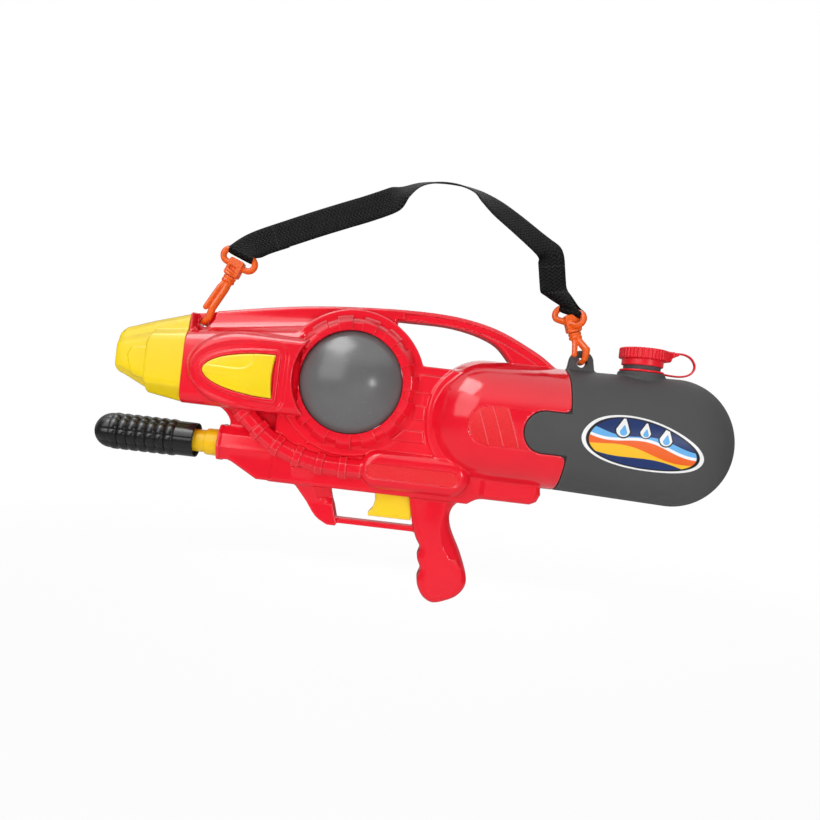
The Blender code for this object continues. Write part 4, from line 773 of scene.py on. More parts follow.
def facing_out(triangles, quads, count):
    """The triangles turned so that each runs against its neighbours' edges, from the quads' rim inwards."""
    def steps(faces):
        return faces.astype(np.int64) * count + np.roll(faces, -1, 1)

    known, settled = steps(quads).ravel(), [triangles[:0]]
    while len(triangles):
        right = np.isin(steps(triangles[:, ::-1]), known).any(1)
        wrong = np.isin(steps(triangles), known).any(1) & ~right
        if not (right | wrong).any():
            break
        settled.append(np.concatenate((triangles[right], triangles[wrong][:, ::-1])))
        known = np.concatenate((known, steps(settled[-1]).ravel()))
        triangles = triangles[~(right | wrong)]
    return np.concatenate(settled)


def housing_half(name, side, wells):
    """One closed half: the zero surface of the field, with its open side filled flat."""
    def field(points):
        return housing_field(points.astype(np.float32), wells)

    points, quads, normals = drawn_surface(field, (HOUSING_LOW, HOUSING_HIGH), CELL)
    pairs, used = edge_pairs(quads)
    open_pairs = pairs[used == 1]
    points[np.unique(open_pairs), 1] = SEAM
    edge = standing_out(points, pairs, normals, CELL)
    seam = bmesh.new()
    corner = {int(i): seam.verts.new((points[i, 0], points[i, 2], 0.0)) for i in np.unique(open_pairs)}
    index = {vert: i for i, vert in corner.items()}
    edges = [seam.edges.new((corner[int(a)], corner[int(b)])) for a, b in open_pairs]
    bmesh.ops.triangle_fill(seam, edges=edges, use_beauty=False, use_dissolve=False, normal=(0, 0, 1))
    fill = np.array([[index[vert] for vert in face.verts] for face in seam.faces])
    seam.free()
    fill = facing_out(fill, quads, len(points))
    points[:, 1] *= side
    normals[:, 1] *= side
    if side < 0:
        quads, fill = quads[:, ::-1], fill[:, ::-1]
    x, z = points[:, 0], points[:, 2]
    lean = x + RIB_LEAN * (z - BAND_Z)
    outer = np.abs(points[:, 1])
    ribbed = (from_band(x, z, BAND_FRONT) < BAND_RADIUS - 0.8) & (x > 48)
    ribbed &= (lean < RIB_END + 0.8) & (outer > 30)
    grain = ribbed | ((bar_distance(x, z, *SUNK_BAR) < -0.5) & (outer > 20))
    half = mesh_object(name, placed(points), (quads, fill), red_plastic, normals,
                       edge=edge, grain=grain, lean=lean, ribbed=ribbed)
    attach(half, "housing")
    return half


left = housing_half("left_moulding", -1, False)
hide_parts("housing_left")
right = housing_half("right_moulding", 1, True)
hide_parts("housing_right")

# The nose cone: glossy yellow, moulded in one piece and set against the front of the shroud.
# Its front is a chamfered box that widens backwards, with a raised pad on each side and under the rear part.
YELLOW = (0.97, 0.70, 0.008)
NOSE_PANEL = ((-250.5, 2.5), (-236, -1), (-236, 28.5), (-252.5, 27.5), (-255.5, 20))
NOSE_STATIONS = (-269.0, -262.0, -240.0, -236.0, NOSE_END - 0.3)
yellow_plastic = moulded_plastic("yellow_moulding", YELLOW, 0.20, edge=0.45, peel=0.01, scuff=0.04)


def section_distance(across, z, low, high, half, chamfer, edge):
    """Distance to a box section with chamfered corners and rounded edges."""
    u = across - half
    v = np.abs(z - (low + high) / 2) - (high - low) / 2
    return carved(carved(u, -v, edge), -(u + v + chamfer) * SLANT, edge)


def nose_field(points):
    """Distance to the nose cone: front block, rear pads and the spine on top, without the barrel's bore."""
    x, across, z = points.T.astype(np.float32)
    across = np.abs(across)

    def along(*values):
        """A size at each station, straight between them."""
        return np.interp(x, NOSE_STATIONS, values).astype(np.float32)

    front = section_distance(across, z, along(5, 2.5, -7.5, -8.5, -14), along(35, 40, 47, 48, 55),
                             along(13, 15, 19.5, 20, 23), along(5, 8, 10, 10, 11), 2.5)
    front = front - np.where(across > 8, 0.9 * (1 - ramp(outline_distance(x, z, NOSE_PANEL), -0.6, 0.6)), 0)
    rear = section_distance(across, z, along(-1, -4, -8.5, -11.8, -17), along(37, 42, 48.5, 49.5, 56),
                            along(13, 15, 21, 21.6, 24.8), along(5, 8, 10, 10.5, 14), 2.5)
    rear = carved(rear, x + 238.5 - 0.4 * np.maximum(z - 33, 0), 1.5)
    spine = section_distance(across, z, along(15, 15, 15, 15, 15), along(39.5, 45, 52.5, 53.8, 63.5),
                             along(10, 11.5, 14.5, 15, 18), along(4, 4, 5, 5, 6), 2.5)
    form = joined(joined(front, spine, 1.0), rear, 0.8)
    form = carved(form, x - NOSE_STATIONS[0], 5.0)
    form = carved(form, NOSE_STATIONS[-1] - x, 0.8)
    radius = np.hypot(across, z - CHAMBER_Z)
    bore = np.minimum(np.maximum(radius - 10.3, x + 249.2), radius - 8.4)
    return carved(form, bore, 0.8)


def field_piece(name, body, nodes, field, box, cell, material, side=1):
    """A closed piece from a field, mirrored to the left for side -1, that stands for CAD nodes on a body."""
    points, quads, normals = drawn_surface(field, box, cell * COARSE)
    edge = standing_out(points, edge_pairs(quads)[0], normals, cell * COARSE)
    points[:, 1] *= side
    normals[:, 1] *= side
    piece = mesh_object(name, placed(points), (quads[:, ::side],), material, normals, edge=edge)
    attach(piece, body)
    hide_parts(*nodes)
    return piece


field_piece("nose", "housing", ("nose_cone",), nose_field,
            ((-271.0, -26.5, -19.5), (-201.5, 26.5, 66.0)), 0.9, yellow_plastic)


# The side inserts: glossy yellow plates, moulded each in one piece and let into the cowl, one on each side.
# Two lobes are sunk in the pillowed face of each, above and below a raised middle bar.
INSERT_FACE, INSERT_BACK = 39.3, 35.8
UPPER_LOBE = ((-190, 18.8), (-152, 18.2), (-145, 19.8), (-139.5, 24.5), (-137, 40), (-190, 40))
LOWER_LOBE = ((-190, 11.2), (-157, 10.8), (-148, 8.6), (-141, 3), (-138, -12), (-190, -12))


def insert_field(points):
    """Distance to an insert: an outline with a dished rear end, and a pillowed face with two sunk lobes."""
    x, across, z = points.T.astype(np.float32)
    side = np.maximum(outline_distance(x, z, INSERT), x + 121.8 - 0.006 * (z - INSERT_Z) ** 2)
    lobes = np.minimum(outline_distance(x, z, UPPER_LOBE), outline_distance(x, z, LOWER_LOBE))
    face = INSERT_FACE - 0.8 * (1 - ramp(lobes, -0.7, 0.9)) - 0.02 * np.maximum(-8 - side, 0)
    face = face - 0.0012 * (z - INSERT_Z) ** 2
    return np.maximum(carved(side, face - across, 2.2), INSERT_BACK - across)


for side, place in ((-1, "left"), (1, "right")):
    field_piece(f"insert_{place}", "housing", (f"side_insert_{place}",), insert_field,
                ((-184.0, 34.5, -6.0), (-118.0, 41.0, 36.0)), 0.8, yellow_plastic, side)


# The pressure chamber: a glossy grey blow-moulded vessel, held between the housing's halves.
# It is turned about its axis across the toy, and a dome stands out of the ring on each side.
DOME_GREY = (0.145, 0.145, 0.147)
DOME_REACH, DOME_RADIUS, DOME_WAIST = 48.0, 45.0, 28.0


def rounded(points, radius, steps=5):
    """A line with its corners rounded: a parabola between the points a radius to each side of a corner."""
    points = np.asarray(points, dtype=float)
    made = [points[:1]]
    t = np.linspace(0, 1, steps + 1)[:, None]
    for before, corner, after in zip(points, points[1:], points[2:]):
        back, ahead = before - corner, after - corner
        size = np.linalg.norm(back), np.linalg.norm(ahead)
        first = corner + back * min(radius / size[0], 0.48)
        last = corner + ahead * min(radius / size[1], 0.48)
        made.append((1 - t) ** 2 * first + 2 * t * (1 - t) * corner + t ** 2 * last)
    return np.vstack(made + [points[-1:]])


def turned_grid(profile, axis, centre, steps):
    """Points of a profile of (length, radius) carried round an axis in steps."""
    length, radius = np.asarray(profile, dtype=float).T
    turn = np.linspace(0, 2 * math.pi, steps, endpoint=False)
    u, v = np.outer(radius, np.cos(turn)), np.outer(radius, np.sin(turn))
    run = np.repeat(length[:, None], steps, 1)
    parts = {"X": (run, u, v), "Y": (u, run, v), "Z": (u, v, run)}[axis]
    return np.stack(parts, -1) + np.asarray(centre, dtype=float)


def grid_piece(name, body, slot, nodes, grid, material, closed=False, sharp=40.0, **values):
    """A closed piece from a grid whose rows run round, with a fan to a point at each end unless it is closed.

    Named values are grids of numbers that the material reads at the points.
    """
    rows, columns = grid.shape[:2]
    index = np.arange(rows * columns).reshape(rows, columns)
    first, last = (index, np.roll(index, -1, 0)) if closed else (index[:-1], index[1:])
    quads = np.stack((first, np.roll(first, -1, 1), np.roll(last, -1, 1), last), -1).reshape(-1, 4)
    points = grid.reshape(-1, 3)
    face_sets = [quads]
    if not closed:
        for row, step in ((index[0], -1), (index[-1], 1)):
            centre = np.full(columns, len(points))
            points = np.vstack((points, grid.reshape(-1, 3)[row].mean(0)))
            values = {label: np.append(value, np.ravel(value)[row].mean()) for label, value in values.items()}
            face_sets.append(np.stack((row, np.roll(row, -1), centre)[::step], -1))
    corners = points[quads]
    middle = points.mean(0)
    volume = (np.cross(corners[:, 2] - corners[:, 0], corners[:, 3] - corners[:, 1])
              * (corners.mean(1) - middle)).sum()
    if volume < 0:
        face_sets = [faces[:, ::-1] for faces in face_sets]
    piece = mesh_object(name, placed(points), face_sets, material,
                        **{label: np.ravel(value) for label, value in values.items()})
    piece.data.set_sharp_from_angle(angle=math.radians(sharp))
    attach(piece, body)
    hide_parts(*nodes)
    return piece


dome_gloss = moulded_plastic("dome_gloss", DOME_GREY, 0.22, peel=0.012, scuff=0.05)
turn = np.linspace(0.012, 1.0, 40)
cap_radius = (DOME_RADIUS ** 2 + (DOME_REACH - DOME_WAIST) ** 2) / (2 * (DOME_REACH - DOME_WAIST))
half_angle = math.asin(DOME_RADIUS / cap_radius)
dome = np.column_stack((DOME_REACH - cap_radius * (1 - np.cos(turn * half_angle)),
                        cap_radius * np.sin(turn * half_angle)))
profile = np.vstack((dome * (-1, 1), dome[::-1]))
grid_piece("chamber", "housing", "dome_grey", ("pressure_chamber",),
           turned_grid(profile, "Y", (CHAMBER_X, 0, CHAMBER_Z), 128), dome_gloss)


# The chamber's ring: raised red blocks with sunk ones between them, moulded in one with each housing half.
# A block's section is carried round the chamber's axis, with two sections close together at a block's ends.
RAISED = ((45.3, 20), (45.3, 32.3), (46.0, 33), (47.2, 33), (47.3, 33), (52.4, 33), (53.0, 32.8),
          (58.2, 27.6), (58.7, 26.8), (58.7, 20))
SUNK = ((45.3, 20), (45.3, 32.3), (46.0, 33), (47.2, 33), (47.3, 31.4), (51.4, 31.4), (52.0, 31.2),
        (55.8, 27.2), (56.2, 26.4), (56.2, 20))
FIRST_SUNK = math.radians(17.4)
SUNK_PLACES = (-0.205, -0.10, 0.0, 0.10, 0.205)
RAISED_PLACES = (0.225, 0.245, 0.36, 0.50, 0.64, 0.755, 0.775)
places = np.array(SUNK_PLACES + RAISED_PLACES)
turn = FIRST_SUNK + (np.arange(RING_BLOCKS)[:, None] + places).ravel() * 2 * math.pi / RING_BLOCKS
sections = np.array([SUNK] * len(SUNK_PLACES) + [RAISED] * len(RAISED_PLACES), dtype=float)
sections = np.tile(sections, (RING_BLOCKS, 1, 1)).transpose(1, 0, 2)
# The brinks at each raised block's ends carry a painted highlight: their edge value makes the material paler
# there.
painted_brink_highlight = np.tile(np.isin(places, (0.225, 0.775)), RING_BLOCKS) * np.ones((len(RAISED), 1))
for side, place in ((-1, "left"), (1, "right")):
    x = CHAMBER_X + sections[..., 0] * np.cos(turn)
    z = CHAMBER_Z + sections[..., 0] * np.sin(turn)
    across = sections[..., 1] - under_cowl(x)
    grid = np.stack((x, side * across, z), -1)
    grid_piece(f"ring_{place}", "housing", "red_plastic", (f"housing_{place}",), grid, red_plastic,
               closed=True, sharp=25.0, edge=0.6 * painted_brink_highlight)


# The pump handle: a black hollow moulding with seven ribbed rings, cut by grooves along it, on the pump rod.
# Rod and gland are amber; the gland is a sleeve with a flange that closes the mouth of the pump tube.
AMBER = (0.93, 0.56, 0.008)
BLACK = (0.011, 0.011, 0.0115)
HANDLE_TIP, HANDLE_RIM, HANDLE_RADIUS, TIP_LENGTH = -283.0, -190.0, 17.0, 17.0
HANDLE_RINGS, RING_PITCH, HANDLE_FLUTES = 7, 8.5, 8
RING_DEPTH, FLUTE_DEPTH, SLEEVE_DEPTH, TIP_DEPTH = 2.3, 1.5, 1.2, 0.7
HANDLE_BORE = ((0.0, 14.6), (-1.0, 14.2), (-23.0, 14.0), (-24.0, 13.0), (-24.0, 4.0))
ROD = ((-214.5, 4.0), (-214.5, 10.2), (-101.3, 10.2), (-101.3, 1.0))
GLAND = ((-181.2, 10.5), (-181.0, 11.6), (-179.8, 12.0), (-171.0, 12.2), (-167.5, 12.2), (-167.3, 11.3),
         (-159.0, 11.3), (-159.0, 10.5), (-181.2, 10.5))
black_plastic = moulded_plastic("black_moulding", BLACK, 0.22, peel=0.03, scuff=0.08, edge=0.1)
amber_plastic = moulded_plastic("amber_moulding", AMBER, 0.3, gloss=0.35)
steps = 160
turn = np.linspace(0, 2 * math.pi, steps, endpoint=False)
ring_front = HANDLE_TIP + 16.0
ring_rear = ring_front + HANDLE_RINGS * RING_PITCH
tip_end = HANDLE_TIP + TIP_LENGTH
length = np.concatenate((HANDLE_TIP + TIP_LENGTH * (1 - np.cos(np.linspace(0.05, math.pi / 2, 18))),
                         np.arange(tip_end + 0.4, HANDLE_RIM - 1.0, 0.55), [HANDLE_RIM - 0.6, HANDLE_RIM]))
nose_round = np.sqrt(np.clip(1 - ((tip_end - length) / TIP_LENGTH).clip(0, 1) ** 2, 0, 1))
phase = (length - ring_front) / RING_PITCH
groove = np.abs(np.sin(math.pi * phase)) ** 0.55
ringed = (length > ring_front) & (length < ring_rear)
plain_depth = np.where(length >= ring_rear, SLEEVE_DEPTH, TIP_DEPTH)
ring_depth = np.where(ringed, RING_DEPTH * (1 - groove), plain_depth)
flute = np.abs(np.sin(turn * HANDLE_FLUTES / 2 + 0.45)) ** 0.35
flute_depth = FLUTE_DEPTH * ramp(length, HANDLE_TIP + 3.0, HANDLE_TIP + 14.0)
flute_depth *= np.where(length > ring_rear, 0.45, 1.0)
radius = (HANDLE_RADIUS * nose_round - ring_depth * nose_round)[:, None] - np.outer(flute_depth, 1 - flute)
radius[-1] -= 0.5
inner = np.array(HANDLE_BORE) + (HANDLE_RIM, 0)
length = np.concatenate((length, inner[:, 0]))
radius = np.vstack((radius, np.repeat(inner[:, 1:], steps, 1)))
run = np.repeat(length[:, None], steps, 1)
grid = np.stack((run, radius * np.cos(turn), radius * np.sin(turn) + PUMP_Z), -1)
grid_piece("handle", "pump", "black_plastic", ("pump_handle",), grid, black_plastic, sharp=50.0)
grid = turned_grid(rounded(ROD, 0.6), "X", (0, 0, PUMP_Z), 64)
grid_piece("rod", "pump", "amber_plastic", ("pump_rod",), grid, amber_plastic)
grid = turned_grid(rounded(GLAND, 0.5)[:-1], "X", (0, 0, PUMP_Z), 64)
grid_piece("gland", "housing", "amber_plastic", ("pump_gland",), grid, amber_plastic, closed=True)


# The trigger: glossy yellow, moulded in one piece with the foot plate that slides inside the body.
# Its blade has a hollowed front, and a forked arm runs up from the plate to the valve stem.
TRIGGER = np.vstack((smooth_path(((-23.5, -76), (-22.2, -84), (-23.5, -91), (-27.2, -96.5)), 5),
                     smooth_path(((-27.4, -98), (-26.2, -99.6), (-24, -99.5)), 4), ((12, -99.5), (12, -76))))
ARM_X = 14.0


def trigger_field(points):
    """Distance to the trigger: a blade with a bead along its front edge, root, foot plate and forked arm."""
    x, across, z = points.T.astype(np.float32)
    across = np.abs(across)
    blade_side = outline_distance(x, z, TRIGGER)
    blade = slab(blade_side, across, 6.0, 1.4)
    blade = blade + 0.5 * ramp(-blade_side, 1.6, 2.4) * ramp(x, -26.0, -18.0) * (across > 3)
    root = slab(rectangle(x, z, (-7.0, -75.5), (15.0, 3.0)), across, 5.0, 0.5)
    plate = slab(rectangle(x, z, (-3.5, -72.7), (20.5, 2.0)), across, 9.0, 0.6)
    arm = slab(rectangle(x, z, (ARM_X, -24.0), (3.0, 49.0)), across, 7.0, 0.8)
    fork = np.maximum(np.maximum(across - 3.3, 14.7 - z), np.abs(x - ARM_X) - 9.0)
    form = np.minimum(joined(blade, root, 0.8), joined(plate, arm, 0.8))
    return carved(np.minimum(form, root), fork, 0.5)


field_piece("trigger_blade", "trigger", ("trigger",), trigger_field,
            ((-29.0, -10.5, -101.5), (19.0, 10.5, 27.0)), 0.75, yellow_plastic)


# The tank: matte grey, blow-moulded, plugged into the hood, with a tongue on each side that fills the hood's
# cut-out, the strap lug and the filler neck on top.
TANK_GREY = (0.084, 0.084, 0.085)
TANK_FRONT, TANK_END, TANK_CAP = 142, 240, 53.0
FRONT_RADIUS, END_RADIUS = 55, 58
LUG_X, LUG_Z, LUG_RADIUS, LUG_EYE = 150.0, 61.0, 11, 4.6
NECK_X = 206.0
END_ARC = np.linspace(0, math.pi / 2, 24)
TANK_ROUND = np.column_stack((TANK_END + TANK_CAP * np.sin(END_ARC), END_RADIUS * np.cos(END_ARC)))
TANK_PROFILE = np.vstack((((84, 0), (84, 41), (90, 51), (98, FRONT_RADIUS), (TANK_FRONT, FRONT_RADIUS)),
                          TANK_ROUND[:-1], ((TANK_END + TANK_CAP, 0),)))
LUG_ARC = np.radians(np.linspace(160, 20, 12))
LUG_ROUND = np.column_stack((LUG_X + LUG_RADIUS * np.cos(LUG_ARC), LUG_Z + LUG_RADIUS * np.sin(LUG_ARC)))
LUG = np.vstack((((137, 46), (139, 62)), LUG_ROUND, ((164, 46),)))


def tank_field(points):
    """Distance to the tank: the round vessel cut back to its plug under the hood, the lug and the neck."""
    x, across, z = points.T.astype(np.float32)
    across = np.abs(across)
    radius = np.hypot(across / HOOD_RATIO, z - TANK_Z)
    slot = from_band(x, z, SLOT_FRONT) - SLOT_RADIUS
    vessel = outline_distance(x, radius, TANK_PROFILE)
    under = np.maximum(np.maximum(x - (HOOD_END + 0.4), -slot - 0.45), 51.6 - radius)
    vessel = carved(vessel, under, 1.2)
    lug = slab(outline_distance(x, z, LUG), across, 4.5, 1.6)
    round_neck = np.hypot(x - NECK_X, across)
    flange = slab(round_neck - 21.0, np.abs(z - 48.0), 10.0, 1.5)
    neck = slab(round_neck - 16.5, np.abs(z - 60.0), 16.0, 0.8)
    form = joined(joined(vessel, lug, 3.0), joined(flange, neck, 1.0), 2.0)
    return carved(form, np.hypot(x - LUG_X, z - LUG_Z) - LUG_EYE, 1.0)


tank_matte = moulded_plastic("tank_matte", TANK_GREY, 0.52, peel=0.10, scuff=0.10, edge=0.1, gloss=0.15)
field_piece("tank", "housing", ("water_tank",), tank_field,
            ((82.0, -57.5, -62.5), (301.0, 57.5, 78.5)), 1.3, tank_matte)


# The sticker on the tank's left side: thin printed film with a white edge, bent to the tank and stuck on it.
# The print is a plain water theme: waves in orange and yellow on navy, with three drops.
STICKER_X, STICKER_UP = 196.0, -7.0
STICKER_LONG, STICKER_TALL, STICKER_TILT = 52.0, 22.5, math.radians(-7.0)
FACE_ROWS, BACK_ROWS, FACE_LIFT, BACK_LIFT = 30, 4, 0.22, 0.05
rows = np.concatenate((np.linspace(0.02, 1.0, FACE_ROWS), np.linspace(1.0, 0.02, BACK_ROWS)))
lift = np.repeat((FACE_LIFT, BACK_LIFT), (FACE_ROWS, BACK_ROWS))
turn = np.linspace(0, 2 * math.pi, 120, endpoint=False)
lobe = 1.0 + 0.05 * np.cos(3 * turn + 0.6)
print_u = np.outer(rows, np.cos(turn) * lobe)
print_v = np.outer(rows, np.sin(turn) * lobe)
level, upright = math.cos(STICKER_TILT), math.sin(STICKER_TILT)
along = STICKER_X + STICKER_LONG * print_u * level - STICKER_TALL * print_v * upright
up = STICKER_UP + STICKER_LONG * print_u * upright + STICKER_TALL * print_v * level
radius = np.interp(along, (TANK_FRONT, TANK_END), (FRONT_RADIUS, END_RADIUS))
radius = radius * np.sqrt(1 - (np.maximum(along - TANK_END, 0) / TANK_CAP) ** 2) + lift[:, None]
lean = (up - TANK_Z) / 57.0
grid = np.stack((along, -HOOD_RATIO * radius * np.cos(lean), TANK_Z + radius * np.sin(lean)), -1)
sticker_print, wire = new_material("sticker_print")
u = wire.point_value("print_u")
v = wire.point_value("print_v")
ring = wire.point_value("print_ring")
WHITE, INK, NAVY = (0.86, 0.86, 0.86, 1.0), (0.012, 0.012, 0.014, 1.0), (0.008, 0.030, 0.14, 1.0)
ORANGE_INK, YELLOW_INK, BLUE_INK = (0.86, 0.12, 0.006, 1.0), (0.93, 0.52, 0.010, 1.0), (0.12, 0.42, 0.80, 1.0)


def wave(height, reach, turns, shift):
    """How far a point lies below a wavy line across the print."""
    return height + (u * turns + shift).sine() * reach - v


def drop(place_u, place_v, size):
    """0 outside a water drop and 1 inside it: a circle drawn out to a point at the top."""
    side = (u - place_u) * (STICKER_LONG / STICKER_TALL) / size
    rise = (v - place_v) / size
    pinch = side / (1.0 - rise.most(0.0) * 0.48).most(0.08)
    return 1.0 - (pinch * pinch + rise.least(0.0) * rise.least(0.0)).most(rise / 1.9).rise(0.90, 1.0)


WAVES = (
    # height, reach, turns and shift of a wavy line, and the ink below it
    (0.30, 0.10, 5.0, 0.4, BLUE_INK),
    (0.16, 0.13, 4.4, 1.2, WHITE),
    (0.05, 0.13, 4.4, 1.2, ORANGE_INK),
    (-0.24, 0.12, 4.0, 2.4, YELLOW_INK),
    (-0.52, 0.10, 3.6, 0.3, NAVY),
)
tone = NAVY
for height, reach, turns, shift, ink in WAVES:
    tone = wave(height, reach, turns, shift).rise(0.0, 0.02).mixed(tone, ink)
for place_u, place_v, size in ((-0.34, 0.40, 0.26), (0.02, 0.50, 0.20), (0.36, 0.42, 0.24)):
    tone = drop(place_u, place_v, size * 1.22).mixed(tone, INK)
    tone = drop(place_u, place_v, size).mixed(tone, WHITE)
    tone = drop(place_u + 0.012, place_v - 0.06, size * 0.55).mixed(tone, BLUE_INK)
tone = ring.rise(0.872, 0.884).mixed(tone, INK)
tone = ring.rise(0.925, 0.937).mixed(tone, WHITE)
principled_output(wire, {"Base Color": tone, "Roughness": 0.34})
grid_piece("tank_sticker", "housing", "tank_grey", ("water_tank",), grid, sticker_print, print_u=print_u,
           print_v=print_v, print_ring=np.repeat(rows[:, None], len(turn), 1))


# The filler cap: satin red, moulded in one piece and screwed on the tank's neck.
# It has a knurled rim, a dished top and a bracket with a pin that holds its tether.
CAP_RED = (0.90, 0.009, 0.024)
CAP_TEETH = 38
PIN_X = 233.0
CAP_TAIL = ((222, 71.5), (230, 73.5), (238, 77.4), (238, 79.2), (230, 79.8), (222, 79.4))
cap_plastic = moulded_plastic("cap_moulding", CAP_RED, 0.30, edge=0.25, gloss=0.4)


def cap_field(points):
    """Distance to the cap: skirt, knurled rim with a dished top, and the bracket with its pin."""
    x, across, z = points.T.astype(np.float32)
    radius = np.hypot(x - NECK_X, across)
    turn = np.arctan2(across, x - NECK_X) * CAP_TEETH / (2 * math.pi)
    tooth = np.abs(turn - np.floor(turn) - 0.5) * 2
    skirt = slab(radius - 18.4, np.abs(z - 68.5), 4.5, 0.8)
    rim = slab(radius - 21.5 + 0.65 * ramp(tooth, 0.2, 0.95), np.abs(z - 74.8), 4.9, 1.2)
    dish = slab(radius - 16.5, np.abs(z - 80.5), 1.9, 0.6)
    boss = slab(np.hypot(x - 226.0, across) - 6.2, np.abs(z - 75.4), 5.0, 2.6)
    tail = slab(outline_distance(x, z, CAP_TAIL), np.abs(across), 3.2, 1.2)
    pin = slab(np.hypot(x - PIN_X, across) - 1.8, np.abs(z - 78.0), 2.6, 0.5)
    form = joined(carved(joined(skirt, rim, 0.8), dish, 0.8), joined(boss, tail, 1.5), 2.0)
    return joined(form, pin, 0.6)


field_piece("cap_body", "cap", ("tank_cap",), cap_field,
            ((182.0, -24.0, 62.0), (240.0, 24.0, 84.0)), 0.62, cap_plastic)


# The tether: soft red plastic, moulded in one piece and turning with the cap.
# A ring lies round the neck, and a flat loop runs up from it to an eyelet on the cap's pin.
TETHER_LOOP = ((231.8, 0, 78.3), (236, 0, 79.3), (243, 0, 79.2), (249, 0, 76.8), (252.8, 0, 72.2),
               (253.6, 0, 67.4), (251.2, 0, 62.8), (246, 0, 59.8), (239, 0, 58.6), (231, 0, 58.7),
               (223.5, 0, 59.2))


def unit(vectors):
    """Rows of vectors, each made 1 long."""
    return vectors / np.linalg.norm(vectors, axis=1)[:, None]


def swept_grid(path, half_width, half_depth, first_side, steps=20):
    """An oval section carried along a path: its side is kept square to the path, without a twist."""
    path = np.asarray(path, dtype=float)
    tangent = unit(np.gradient(path, axis=0))
    side = np.empty_like(path)
    last = np.asarray(first_side, dtype=float)
    for i, t in enumerate(tangent):
        last = last - t * last.dot(t)
        last = last / np.linalg.norm(last)
        side[i] = last
    depth = np.cross(tangent, side)
    turn = np.linspace(0, 2 * math.pi, steps, endpoint=False)
    wide, deep = half_width * np.cos(turn)[None, :, None], half_depth * np.sin(turn)[None, :, None]
    return path[:, None] + side[:, None] * wide + depth[:, None] * deep


grid = swept_grid(smooth_path(TETHER_LOOP), 2.1, 0.95, (0, 1, 0))
grid_piece("tether_loop", "cap_turner", "cap_red", ("cap_tether",), grid, cap_plastic)
TETHER_RINGS = (
    # name, middle, foot and top, inner, starting and outer radius, edge radius, steps round
    ("tether_ring", NECK_X, 58.3, 60.1, 17.0, 17.4, 19.6, 0.5, 96),
    ("tether_eyelet", PIN_X, 77.4, 79.2, 2.0, 2.6, 3.9, 0.4, 40),
)
for name, x, foot, top, inner, start, outer, edge, steps in TETHER_RINGS:
    profile = ((foot, start), (foot, outer), (top, outer), (top, inner), (foot, inner), (foot, start))
    grid = turned_grid(rounded(profile, edge, 3)[:-1], "Z", (x, 0, 0), steps)
    grid_piece(name, "cap_turner", "cap_red", ("cap_tether",), grid, cap_plastic, closed=True)


# The strap clips: orange swivel hooks. A ring with a socket holds the strap, and a hook turns in the socket
# and passes through the eye in the housing or in the tank's lug.
ORANGE = (0.90, 0.125, 0.008)
clip_plastic = moulded_plastic("clip_moulding", ORANGE, 0.30, edge=0.15, peel=0.03, gloss=0.4)
CLIPS = {"front": ((-171.0, 118.0), (EYE_X, EYE_Z)), "rear": ((135.5, 104.0), (LUG_X, LUG_Z))}
RING_TILT = {"front": 0.0, "rear": math.radians(40.0)}
RING_DROP = {"front": 0.0, "rear": 2.5}
RING_TURN = {"front": 0.0, "rear": math.radians(42.0)}
HOOK_LIMBS = {"front": (((30, 2.3, -3.0), (50, 2.3, -10.2)), ((30, -3.3, -3.0), (52, -3.6, -10.0))),
              "rear": (((27, 2.4, -3.4), (35, 5.0, -9.8)), ((27, -2.4, -3.4), (37, -6.4, -9.6)))}
HOOK_CURL = ((-6, 3.4, -10.0), (-2.6, 1.6, -9.4), (-0.4, 0.0, -6.6), (0, 0, -3.5), (0, 0, 4.5),
             (-1.2, 0, 7.0), (-4.2, 0, 8.0))
ARM_RADIUS, GATE_RADIUS = 3.3, 2.5
CURL_RADII = (3.0, 2.7, 2.4, 2.4, 2.4, 2.1, 1.4)
RING_SPAN, SOCKET_END = 22, 17
CLIP_CELL, RING_MARGIN, HOOK_MARGIN = 0.7, 13.0, 17.0


def clip_frame(ring, eye):
    """Middle of a clip's ring, the direction to its eye, the direction to its right, and the distance."""
    run = np.array((eye[0] - ring[0], 0.0, eye[1] - ring[1]))
    reach = np.linalg.norm(run)
    along = run / reach
    return np.array((ring[0], 0.0, ring[1])), along, np.array((-along[2], 0.0, along[0])), reach


def limb_distance(t, v, y, path, radii):
    """Distance to a limb: a chain of straight pieces whose radius goes evenly from point to point."""
    nearest = np.full(t.shape, 1e9, t.dtype)
    for start, end, thick, thin in zip(path[:-1], path[1:], radii[:-1], radii[1:]):
        run = np.subtract(end, start)
        dt, dv, dy = t - start[0], v - start[1], y - start[2]
        share = np.clip((dt * run[0] + dv * run[1] + dy * run[2]) / (run ** 2).sum(), 0, 1)
        gap = np.sqrt((dt - share * run[0]) ** 2 + (dv - share * run[1]) ** 2 + (dy - share * run[2]) ** 2)
        nearest = np.minimum(nearest, gap - thick - share * (thin - thick))
    return nearest


def in_clip(points, place):
    """Places of points along a clip, to its right and across."""
    middle, along, side, _ = clip_frame(*CLIPS[place])
    offset = points - middle
    return offset @ along, offset @ side, offset[:, 1]


def ring_frame(place):
    """Middle of a clip's ring, its directions down, along the bar and across, as it hangs on the strap."""
    middle, along, side, _ = clip_frame(*CLIPS[place])
    tilt, turn = RING_TILT[place], RING_TURN[place]
    down = along * math.cos(tilt) - side * math.sin(tilt)
    middle = middle + RING_DROP[place] * down
    bar = side * math.cos(tilt) + along * math.sin(tilt)
    back = np.array((0.0, 1.0, 0.0))
    turned_bar = bar * math.cos(turn) - back * math.sin(turn)
    return middle, down, turned_bar, back * math.cos(turn) + bar * math.sin(turn)


